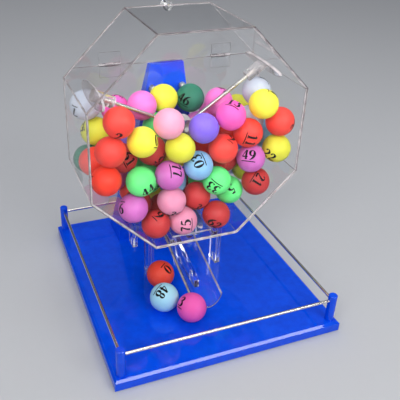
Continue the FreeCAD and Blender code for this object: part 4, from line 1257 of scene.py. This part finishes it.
def island_centres(packed: Packed, node: str) -> Array:
    """Middle of each separate solid of a node, without shells that lie inside another.

    Args:
        packed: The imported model.
        node: Node that holds the solids.

    Returns:
        Array of (x, y, z), in metres.
    """
    mesh = packed.frame["nodes"][node].data
    points = read_all(mesh.vertices, "co", 3)
    island = island_numbers(points, read_all(mesh.edges, "vertices", 2, np.int64))
    found: list[tuple[Array, float]] = []
    for number in np.unique(island):
        own = points[island == number]
        centre = (own.min(axis=0) + own.max(axis=0)) / 2
        size = float(np.ptp(own, axis=0).max())
        gaps = [np.linalg.norm(other - centre) for other, _ in found]
        twin = next((place for place, gap in enumerate(gaps) if gap < SAME_CENTRE_GAP), None)
        if twin is None:
            found.append((centre, size))
        elif size > found[twin][1]:
            found[twin] = (centre, size)
    centres = np.array([centre for centre, _ in found])
    return centres[np.lexsort(np.round(centres, SAME_ORDER_DIGITS).T)]


Stroke = tuple[tuple[float, float, float], ...]


def oval(cx: float, cy: float, rx: float, ry: float, thick: float, thin: float) -> Stroke:
    """Closed oval stroke, thick at its sides and thin at its top and foot.

    Args:
        cx: Middle across.
        cy: Middle upwards.
        rx: Radius across.
        ry: Radius upwards.
        thick: Half width at the sides.
        thin: Half width at the top and the foot.

    Returns:
        Points as (across, up, half width).
    """
    turn = np.linspace(0.0, 2 * np.pi, 13)
    x = cx + rx * np.cos(turn)
    y = cy + ry * np.sin(turn)
    half = thin + (thick - thin) * np.cos(turn) ** 2
    return tuple(zip(x.tolist(), y.tolist(), half.tolist()))


SIX: tuple[Stroke, ...] = (
    (
        (0.52, 0.96, 0.018), (0.32, 0.85, 0.035), (0.14, 0.60, 0.055), (0.09, 0.33, 0.062),
        (0.16, 0.10, 0.042), (0.32, 0.02, 0.022), (0.49, 0.12, 0.048), (0.54, 0.30, 0.060),
        (0.47, 0.48, 0.045), (0.32, 0.56, 0.022), (0.14, 0.44, 0.018),
    ),
)
# Each figure's strokes as (across, up, half width), in heights of a figure.
FIGURES: dict[str, tuple[Stroke, ...]] = {
    "0": (oval(0.32, 0.50, 0.23, 0.47, 0.060, 0.020),),
    "1": (
        ((0.35, 0.03, 0.052), (0.35, 0.50, 0.052), (0.35, 0.96, 0.045)),
        ((0.16, 0.80, 0.018), (0.26, 0.87, 0.025), (0.35, 0.96, 0.030)),
        ((0.17, 0.02, 0.018), (0.35, 0.02, 0.024), (0.54, 0.02, 0.018)),
    ),
    "2": (
        (
            (0.10, 0.73, 0.048), (0.16, 0.90, 0.028), (0.33, 0.97, 0.028), (0.50, 0.81, 0.062),
            (0.46, 0.62, 0.052), (0.28, 0.34, 0.030), (0.08, 0.06, 0.024),
        ),
        ((0.08, 0.05, 0.040), (0.30, 0.05, 0.045), (0.48, 0.05, 0.040), (0.56, 0.17, 0.018)),
    ),
    "3": (
        (
            (0.10, 0.80, 0.042), (0.18, 0.93, 0.025), (0.33, 0.97, 0.028), (0.47, 0.82, 0.052),
            (0.42, 0.65, 0.042), (0.25, 0.55, 0.018),
        ),
        (
            (0.25, 0.55, 0.018), (0.44, 0.47, 0.042), (0.53, 0.27, 0.062), (0.41, 0.07, 0.038),
            (0.22, 0.02, 0.020), (0.08, 0.12, 0.046),
        ),
    ),
    "4": (
        ((0.40, 0.96, 0.020), (0.22, 0.62, 0.020), (0.05, 0.30, 0.020)),
        ((0.04, 0.28, 0.030), (0.32, 0.28, 0.030), (0.60, 0.28, 0.030)),
        ((0.43, 0.97, 0.052), (0.43, 0.50, 0.052), (0.43, 0.02, 0.052)),
    ),
    "5": (
        ((0.15, 0.93, 0.045), (0.33, 0.93, 0.045), (0.52, 0.96, 0.025)),
        ((0.16, 0.93, 0.022), (0.14, 0.74, 0.022), (0.12, 0.55, 0.020)),
        (
            (0.12, 0.55, 0.020), (0.30, 0.60, 0.030), (0.50, 0.46, 0.056), (0.53, 0.25, 0.062),
            (0.40, 0.06, 0.032), (0.21, 0.02, 0.020), (0.08, 0.12, 0.046),
        ),
    ),
    "6": SIX,
    "7": (
        ((0.08, 0.78, 0.018), (0.12, 0.92, 0.032), (0.33, 0.93, 0.046), (0.56, 0.93, 0.040)),
        ((0.55, 0.93, 0.025), (0.38, 0.55, 0.042), (0.25, 0.02, 0.056)),
    ),
    "8": (oval(0.32, 0.745, 0.165, 0.225, 0.050, 0.020), oval(0.32, 0.27, 0.215, 0.255, 0.060, 0.020)),
    "9": tuple(tuple((0.64 - x, 0.98 - y, half) for x, y, half in stroke) for stroke in SIX),
}


@dataclass
class Marking:
    """Where a ball carries its number, as it is seen from the front left.

    column and row are about where the ball's middle lies in the camera's view, in pixels.
    right and up are in ball radii from the ball's middle, turn is how many degrees the
    number leans to the left, and shade picks one of the node's dyes. A ball with no number
    here has one on its far side.
    """

    node: str
    column: float
    row: float
    number: str = ""
    right: float = 0.0
    up: float = 0.0
    turn: float = 0.0
    shade: int = 0


@dataclass(frozen=True)
class DressedBall:
    """One ball: its middle, its dye, its number and the way the number looks."""

    centre: Array
    dye: Array
    number: str
    outward: Array
    up: Array


@dataclass
class Balls:
    """Numbered draw balls, one piece for each colour, and the three loose ones.

    figure_foot, figure_pitch and the underline's lengths are in heights of a figure.
    away_limit and away_push say how far a number out of view is turned from the camera.
    dye_spread is what each ball's dye is multiplied by at random, up to dye_top.
    """

    radius: float = 20.0 * MM
    side_steps: int = 22
    same_digits: int = 7
    figure_height: float = 14.2 * MM
    figure_foot: float = -0.45
    boldness: float = 2.0
    figure_pitch: float = 0.68
    underline_drop: float = 0.16
    underline_half_width: float = 0.024
    underline_overhang: float = 0.04
    ink_rise: float = 0.05 * MM
    ink_root: float = 0.12 * MM
    stroke_steps: int = 5
    depth_weight_px: float = 0.5
    highest_number: int = 75
    away_limit: float = -0.15
    away_push: tuple[float, float] = (0.25, 0.9)
    dye_spread: tuple[float, float] = (0.94, 1.06)
    dye_top: float = 0.95
    seed: int = 11
    dyes: dict[str, tuple[Colour, ...]] = field(
        default_factory=lambda: {
            "balls_red": ((0.90, 0.06, 0.04), (0.55, 0.03, 0.03), (0.90, 0.04, 0.01)),
            "balls_yellow": ((0.90, 0.85, 0.06), (0.75, 0.75, 0.05)),
            "balls_pink": ((0.90, 0.20, 0.60), (0.95, 0.12, 0.50), (0.60, 0.15, 0.50)),
            "balls_light_pink": ((0.95, 0.40, 0.55), (0.80, 0.30, 0.45)),
            "balls_violet": ((0.25, 0.15, 0.80), (0.60, 0.15, 0.50)),
            "balls_green": ((0.15, 0.90, 0.25),),
            "balls_dark_green": ((0.02, 0.20, 0.12),),
            "balls_light_blue": ((0.25, 0.50, 0.75), (0.60, 0.65, 0.75)),
        }
    )
    loose_dyes: tuple[Colour, ...] = ((0.95, 0.12, 0.50), (0.45, 0.80, 0.95), (0.95, 0.08, 0.04))
    markings: tuple[Marking, ...] = (
        Marking("balls_red", 122, 157, "61", 0.52, -0.09, -60, 1),
        Marking("balls_pink", 171, 176, "77", 0.50, 0.30, -82, 2),
        Marking("balls_light_blue", 203, 172, "03", -0.05, 0.30, 113),
        Marking("balls_violet", 246, 161, "49", -0.25, 0.16, -8, 1),
        Marking("balls_red", 255, 183, "21", 0.10, 0.08, -122, 1),
        Marking("balls_dark_green", 188, 100, "46", -0.45, -0.24, -37),
        Marking("balls_violet", 120, 202, "9", -0.76, 0.02, 176, 1),
        Marking("balls_red", 158, 226, "9", 0.25, 0.66, -42, 1),
        Marking("balls_light_pink", 185, 221, "75", 0.24, -0.34, 88, 1),
        Marking("balls_red", 212, 215, "62", -0.18, -0.70, -35, 1),
        Marking("balls_green", 234, 199, "5", 0.10, 0.05, -145),
        Marking("balls_green", 219, 189, "33", -0.30, -0.52, 145),
        Marking("balls_green", 141, 179, "44", 0.56, -0.62, 36),
        Marking("balls_green", 148, 182, "12", 0.62, -0.40, 30),
        Marking("balls_yellow", 279, 151, "22", -0.60, -0.58, -42, 1),
        Marking("balls_yellow", 262, 160, "57", -0.05, 0.30, -140, 1),
        Marking("balls_red", 249, 135, "11", 0.12, -0.62, -110),
        Marking("balls_pink", 225, 119, "13", 0.20, 0.78, -24, 1),
        Marking("balls_red", 224, 149, "9", 0.58, 0.66, -38),
        Marking("balls_red", 117, 124, "2", 0.0, -0.93, -8),
        Marking("balls_yellow", 145, 142, "0", 0.94, 0.05, 6),
        Marking("balls_light_blue", 84, 115, "7", -0.60, -0.55, 152, 1),
        Marking("balls_light_blue", 232, 168, "5", -0.10, 0.35, -60, 1),
        Marking("balls_red", 105, 181, "18", -0.97, -0.16, 170, 2),
        Marking("balls_light_pink", 170, 202, "39", 0.20, -0.96, 0, 1),
        Marking("balls_red", 278, 124, "28", 0.90, -0.38, 60),
        Marking("balls_yellow", 268, 107, "24", 0.62, 0.76, -70),
        Marking("balls_violet", 203, 132),
        Marking("balls_light_pink", 169, 130),
        Marking("balls_yellow", 183, 150, shade=1),
        Marking("balls_yellow", 162, 97),
        Marking("balls_pink", 141, 108),
        Marking("balls_red", 103, 152),
        Marking("balls_pink", 216, 103, "42", 0.30, 0.93, 0),
        Marking("balls_yellow", 88, 134, "27", -0.93, 0.20, 90, 1),
        Marking("balls_yellow", 238, 110, "70", -0.93, 0.20, 90, 1),
        Marking("balls_light_blue", 255, 105, "19", 0.5, 0.84, 90, 1),
        Marking("balls_pink", 117, 108, "51", 0.1, 0.98, 90, 1),
        Marking("balls_red", 150, 152, "65", 0.6, -0.76, 90, 1),
        Marking("balls_red", 194, 194, "36", 0.2, -0.90, -20, 1),
        Marking("balls_red", 137, 208, "29", -0.5, -0.84, 90, 1),
    )
    loose_markings: tuple[Marking, ...] = (
        Marking("tray_balls", 191, 306, "3", -0.70, 0.49, -24),
        Marking("tray_balls", 164, 297, "48", -0.16, 0.55, -129),
        Marking("tray_balls", 159, 274, "0", 0.54, 0.46, -135),
    )

    def ball_points(self) -> tuple[Array, Array]:
        """Surface of one ball about the origin.

        Each face of a cube is a grid of angles, and each of its points is pushed out to
        the sphere, so the ball has no poles.

        Returns:
            Points, and faces with four corners.
        """
        angle = np.linspace(-np.pi / 4, np.pi / 4, self.side_steps + 1)
        u, v = np.meshgrid(np.tan(angle), np.tan(angle), indexing="ij")
        one = np.ones_like(u)
        sides = ((u, v, one), (v, u, -one), (one, u, v), (-one, v, u), (v, one, u), (u, -one, v))
        points = np.concatenate([np.stack(side, axis=-1).reshape(-1, 3) for side in sides])
        block = grid_faces(self.side_steps + 1, self.side_steps + 1, False)
        faces = np.concatenate([block[:, ::-1] + k * u.size for k in range(6)])
        points = unit(points)
        rounded = np.round(points, self.same_digits)
        _, first, same = np.unique(rounded, axis=0, return_index=True, return_inverse=True)
        return points[first] * self.radius, same.ravel()[faces]

    def stroke_ribbon(self, stroke: Stroke) -> tuple[Array, Array]:
        """Centre line and half widths of a stroke, on a smooth curve through its points.

        A point between two of them is the usual cubic of these two and their neighbours.

        Args:
            stroke: Points as (across, up, half width).

        Returns:
            Points along the middle as (across, up), and each one's half width.
        """
        given = np.array(stroke)
        closed = np.allclose(given[0, :2], given[-1, :2])
        before = given[-2] if closed else 2 * given[0] - given[1]
        after = given[1] if closed else 2 * given[-1] - given[-2]
        knots = np.concatenate([before[None], given, after[None]])
        t = (np.arange(self.stroke_steps) / self.stroke_steps)[None, :, None]
        p0, p1, p2, p3 = (knots[k : len(knots) - 3 + k, None, :] for k in range(4))
        curve = 0.5 * (
            2 * p1
            + (p2 - p0) * t
            + (2 * p0 - 5 * p1 + 4 * p2 - p3) * t**2
            + (3 * p1 - p0 - 3 * p2 + p3) * t**3
        )
        line = np.concatenate([curve.reshape(-1, 3), given[-1:]])
        return line[:, :2], line[:, 2]

    def stroke_solid(self, stroke: Stroke, offset: Array) -> Surface:
        """Flat ribbon of a stroke with a top, a root and two closed ends.

        Args:
            stroke: Points as (across, up, half width).
            offset: Added to each point's (across, up).

        Returns:
            Points as (across, up, height above the ball), in metres, and faces.
        """
        line, half = self.stroke_ribbon(stroke)
        line = line + offset
        way = unit(np.gradient(line, axis=0))
        side = np.stack([-way[:, 1], way[:, 0]], axis=1) * half[:, None] * self.boldness
        across = np.array([-1.0, 0.0, 1.0, 1.0, 0.0, -1.0])
        rise = np.array([self.ink_rise] * 3 + [-self.ink_root] * 3)
        flat = (line[:, None, :] + across[None, :, None] * side[:, None, :]) * self.figure_height
        height = np.broadcast_to(rise[None, :, None], flat.shape[:2] + (1,))
        points = np.concatenate([flat, height], axis=2)
        ring = len(across)
        last = (len(line) - 1) * ring
        ends = [np.arange(ring)[None, :], (last + np.arange(ring))[None, ::-1]]
        return points.reshape(-1, 3), [grid_faces(len(line), ring, True)[:, ::-1]] + ends

    def number_solid(self, number: str) -> Surface:
        """A number with its underline, laid out flat about its own middle.

        Args:
            number: Its figures.

        Returns:
            Points as (across, up, height above the ball), in metres, and faces.
        """
        width = self.figure_pitch * len(number)
        corner = np.array([-width / 2, self.figure_foot])
        parts = []
        for place, figure in enumerate(number):
            offset = corner + np.array([place * self.figure_pitch, 0.0])
            parts.extend(self.stroke_solid(stroke, offset) for stroke in FIGURES[figure])
        ends = (-self.underline_overhang, width / 2, width + self.underline_overhang)
        underline = tuple((x, -self.underline_drop, self.underline_half_width) for x in ends)
        parts.append(self.stroke_solid(underline, corner))
        return joined(parts)

    def wrapped_number(self, ball: DressedBall) -> Surface:
        """A ball's number, laid round the ball.

        A point at a distance from the print's middle goes to the same distance along the
        ball, in the same direction, at its own height above the surface.

        Args:
            ball: The ball.

        Returns:
            Points in the frame, and faces.
        """
        flat, faces = self.number_solid(ball.number)
        across = np.cross(ball.up, ball.outward)
        reach = np.hypot(flat[:, 0], flat[:, 1])
        angle = (reach / self.radius)[:, None]
        radius = (self.radius + flat[:, 2])[:, None]
        length = np.where(reach == 0.0, 1.0, reach)[:, None]
        sideways = (flat[:, 0, None] * across + flat[:, 1, None] * ball.up) / length
        return ball.centre + radius * (np.sin(angle) * sideways + np.cos(angle) * ball.outward), faces

    def print_frame(self, marking: Marking, view: "CameraView") -> tuple[Array, Array]:
        """Outward and up directions of a print, from its place as seen from the front left.

        Args:
            marking: Where the number is.
            view: The view that the place is given in.

        Returns:
            Two unit vectors, square to each other.
        """
        eye_right, eye_up, eye_back = view.axes()
        depth = math.sqrt(max(0.0, 1.0 - marking.right * marking.right - marking.up * marking.up))
        outward = unit(marking.right * eye_right + marking.up * eye_up + depth * eye_back)
        lean = math.radians(marking.turn)
        wanted = math.cos(lean) * eye_up - math.sin(lean) * eye_right
        return outward, unit(wanted - (wanted @ outward) * outward)

    def away_frame(self, rng: np.random.Generator, view: "CameraView") -> tuple[Array, Array]:
        """Directions of a print that is turned away from the front left, at random.

        Args:
            rng: Source of the directions.
            view: The view that it is turned away from.

        Returns:
            Two unit vectors, square to each other.
        """
        outward = unit(rng.normal(size=3))
        back = view.axes()[2]
        if outward @ back > self.away_limit:
            outward = unit(outward - (outward @ back + rng.uniform(*self.away_push)) * back)
        wanted = rng.normal(size=3)
        return outward, unit(wanted - (wanted @ outward) * outward)

    def matched(self, markings: Sequence[Marking], centres: Array, view: "CameraView") -> dict[int, Marking]:
        """Finds the ball that each marking means: the nearest one in the camera's view.

        A ball that lies further back counts as further away, so that of two balls behind
        each other the front one is taken.

        Args:
            markings: Markings of one node, the surest first.
            centres: Middles of the node's balls.
            view: View that the markings are given in.

        Returns:
            Each marking under its ball's number.
        """
        columns, rows, depth = view.project(centres)
        behind = (depth - depth.min()) / self.radius
        found: dict[int, Marking] = {}
        for marking in markings:
            gaps = np.hypot(columns - marking.column, rows - marking.row) + self.depth_weight_px * behind
            gaps[list(found)] = np.inf
            found[int(np.argmin(gaps))] = marking
        return found

    def heap(
        self,
        node: str,
        centres: Array,
        dyes: Sequence[Colour],
        view: "CameraView",
        rng: np.random.Generator,
    ) -> list[DressedBall]:
        """The balls of one node of the heap.

        Args:
            node: Node that holds the balls.
            centres: Middles of the balls.
            dyes: Dyes to choose from.
            view: View that the markings are given in.
            rng: Source of what the markings leave open.

        Returns:
            The balls, in the order of their middles.
        """
        own = [marking for marking in self.markings if marking.node == node]
        found = self.matched(own, centres, view)
        balls = []
        for place, centre in enumerate(centres):
            marking = found.get(place)
            shade = marking.shade if marking else int(rng.integers(len(dyes)))
            if marking and marking.number:
                number = marking.number
                outward, up = self.print_frame(marking, view)
            else:
                number = f"{int(rng.integers(1, self.highest_number + 1)):02d}"
                outward, up = self.away_frame(rng, view)
            dye = np.array(dyes[shade % len(dyes)]) * rng.uniform(*self.dye_spread)
            balls.append(DressedBall(centre, np.minimum(dye, self.dye_top), number, outward, up))
        return balls

    def loose(self, centres: Array, view: "CameraView") -> list[DressedBall]:
        """The balls that lie on the base, each with a dye of its own.

        Args:
            centres: Middles of the balls.
            view: View that the markings are given in.

        Returns:
            The balls, in the order of their markings.
        """
        found = self.matched(self.loose_markings, centres, view)
        return [
            DressedBall(centres[place], np.array(dye), marking.number, *self.print_frame(marking, view))
            for (place, marking), dye in zip(found.items(), self.loose_dyes)
        ]

    def dress(self, packed: Packed, node: str, balls: Sequence[DressedBall]) -> None:
        """Builds the shells of one node's balls, and their numbers.

        Args:
            packed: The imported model.
            node: Node that the shells stand for.
            balls: The node's balls.
        """
        points, faces = self.ball_points()
        shells = mesh_object(node + "_shells", *joined((points + ball.centre, [faces]) for ball in balls))
        dyes = np.array([ball.dye for ball in balls])
        point_attribute(shells, "dye", np.repeat(dyes, len(points), axis=0))
        shells.data.materials.append(CELLULOID.material())
        packed.place(shells, node)
        numbers = joined(self.wrapped_number(ball) for ball in balls)
        ink = mesh_object(node + "_numbers", *numbers, smooth=False)
        ink.data.materials.append(INK.material())
        packed.place(ink, node, stands_for=False)

    def build(self, packed: Packed, view: "CameraView") -> None:
        """Builds every ball.

        Args:
            packed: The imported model.
            view: View that the markings are given in.
        """
        rng = np.random.default_rng(self.seed)
        for node, dyes in self.dyes.items():
            self.dress(packed, node, self.heap(node, island_centres(packed, node), dyes, view, rng))
        self.dress(packed, "tray_balls", self.loose(island_centres(packed, "tray_balls"), view))


# --- Stage ------------------------------------------------------------------------------
@dataclass(frozen=True)
class CameraView:
    """Camera from the front left, looking down on the machine."""

    place_mm: tuple[float, float, float] = (-277.4, -660.9, 571.3)
    heading_deg: float = 21.73
    pitch_deg: float = 29.92
    roll_deg: float = 1.65
    frame_px: float = 400.0
    focal_px: float = 584.18
    centre_px: tuple[float, float] = (178.0, 188.0)

    def axes(self) -> tuple[Array, Array, Array]:
        """Directions of the camera.

        The view looks heading degrees to the right of +Y and pitch degrees down, and then
        rolls about that line.

        Returns:
            Unit vectors to the right, up and back towards the camera.
        """
        heading, pitch, roll = (math.radians(v) for v in (self.heading_deg, self.pitch_deg, self.roll_deg))
        flat = np.array([math.sin(heading), math.cos(heading), 0.0])
        ahead = math.cos(pitch) * flat - math.sin(pitch) * UP
        level_up = math.sin(pitch) * flat + math.cos(pitch) * UP
        level_right = np.cross(ahead, level_up)
        right = math.cos(roll) * level_right + math.sin(roll) * level_up
        return right, np.cross(right, ahead), -ahead

    def project(self, points: Array) -> tuple[Array, Array, Array]:
        """Where points lie in the view.

        Args:
            points: Array of (x, y, z), in metres.

        Returns:
            Columns and rows in pixels, and distances along the view in metres.
        """
        right, up, back = self.axes()
        away = points - np.array(self.place_mm) * MM
        depth = -(away @ back)
        columns = self.centre_px[0] + self.focal_px * (away @ right) / depth
        rows = self.centre_px[1] - self.focal_px * (away @ up) / depth
        return columns, rows, depth

    def build(self) -> None:
        """Adds the camera and makes it the scene's."""
        data = bpy.data.cameras.new("view")
        data.lens = self.focal_px / self.frame_px * data.sensor_width
        data.shift_x = (self.frame_px / 2 - self.centre_px[0]) / self.frame_px
        data.shift_y = (self.centre_px[1] - self.frame_px / 2) / self.frame_px
        camera = bpy.data.objects.new("view", data)
        camera.matrix_world = standing(*self.axes(), np.array(self.place_mm) * MM)
        bpy.context.scene.collection.objects.link(camera)
        bpy.context.scene.camera = camera


@dataclass(frozen=True)
class SoftBox:
    """One flat lamp that looks at a point of the machine, never straight down."""

    name: str
    place: tuple[float, float, float]
    wide: float
    high: float
    watts: float
    target: tuple[float, float, float] = (0.0, 0.0, 0.2)

    def build(self) -> None:
        """Adds the lamp."""
        data = bpy.data.lights.new(self.name, "AREA")
        data.shape = "RECTANGLE"
        data.size = self.wide
        data.size_y = self.high
        data.energy = self.watts
        lamp = bpy.data.objects.new(self.name, data)
        place = np.array(self.place)
        back = unit(place - np.array(self.target))
        right = unit(np.cross(UP, back))
        lamp.matrix_world = standing(right, np.cross(back, right), back, place)
        bpy.context.scene.collection.objects.link(lamp)


@dataclass
class Studio:
    """Pale floor, soft lamps and a surround that is brightest overhead."""

    floor_reach: float = 9.0
    floor_rows: int = 9
    horizon: Colour = (0.055, 0.060, 0.070)
    zenith: Colour = (0.62, 0.63, 0.66)
    horizon_height: float = 0.45
    lamps: tuple[SoftBox, ...] = (
        SoftBox("key", (-1.2, -1.3, 1.5), 1.1, 1.1, 18.0),
        SoftBox("strip", (0.48, -1.38, 1.06), 0.95, 0.24, 9.0, (0.05, -0.18, 0.02)),
        SoftBox("fill", (1.5, -0.8, 1.2), 1.2, 1.2, 3.0),
        SoftBox("top", (0.2, 0.5, 2.2), 1.2, 1.2, 9.5),
    )

    def build(self) -> None:
        """Builds the floor, the lamps and the surround."""
        steps = np.linspace(-self.floor_reach, self.floor_reach, self.floor_rows)
        x, y = np.meshgrid(steps, steps, indexing="ij")
        points = np.stack([x, y, np.zeros_like(x)], axis=-1).reshape(-1, 3)
        faces = grid_faces(self.floor_rows, self.floor_rows, False)[:, ::-1]
        floor = mesh_object("studio_floor", points, [faces], smooth=False)
        floor.data.materials.append(PAPER.material())
        for lamp in self.lamps:
            lamp.build()
        bpy.context.scene.world = self.surround()
        bpy.context.scene.view_settings.view_transform = "Standard"

    def surround(self) -> bpy.types.World:
        """World whose light rises from a dim horizon to a soft ceiling.

        Returns:
            The world.
        """
        world = bpy.data.worlds.new("surround")
        world.use_nodes = True
        nodes = Nodes(world.node_tree)
        way = nodes.add("ShaderNodeTexCoord").outputs["Generated"]
        height = nodes.add("ShaderNodeSeparateXYZ", {0: way}).outputs["Z"]
        share = nodes.ramp(height, self.horizon_height, 1.0)
        colour = nodes.mix(share, rgba(self.horizon), rgba(self.zenith))
        nodes.feed(world.node_tree.nodes["Background"].inputs["Color"], colour)
        return world


def main() -> None:
    """Builds the whole machine and its stage."""
    logging.basicConfig(level=logging.INFO, format="%(name)s %(message)s")
    packed = Packed(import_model())
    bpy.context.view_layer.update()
    view = CameraView()
    view.build()
    Studio().build()
    steps: tuple[tuple[str, Callable[[], None]], ...] = (
        ("base", lambda: Base().build(packed)),
        ("tower", lambda: Tower().build(packed)),
        ("drum", lambda: Drum().build(packed)),
        ("chute", lambda: Chute().build(packed)),
        ("stirrer", lambda: Stirrer().build(packed)),
        ("balls", lambda: Balls().build(packed, view)),
    )
    for name, step in steps:
        log.info("building the %s", name)
        step()


if __name__ == "__main__":
    main()
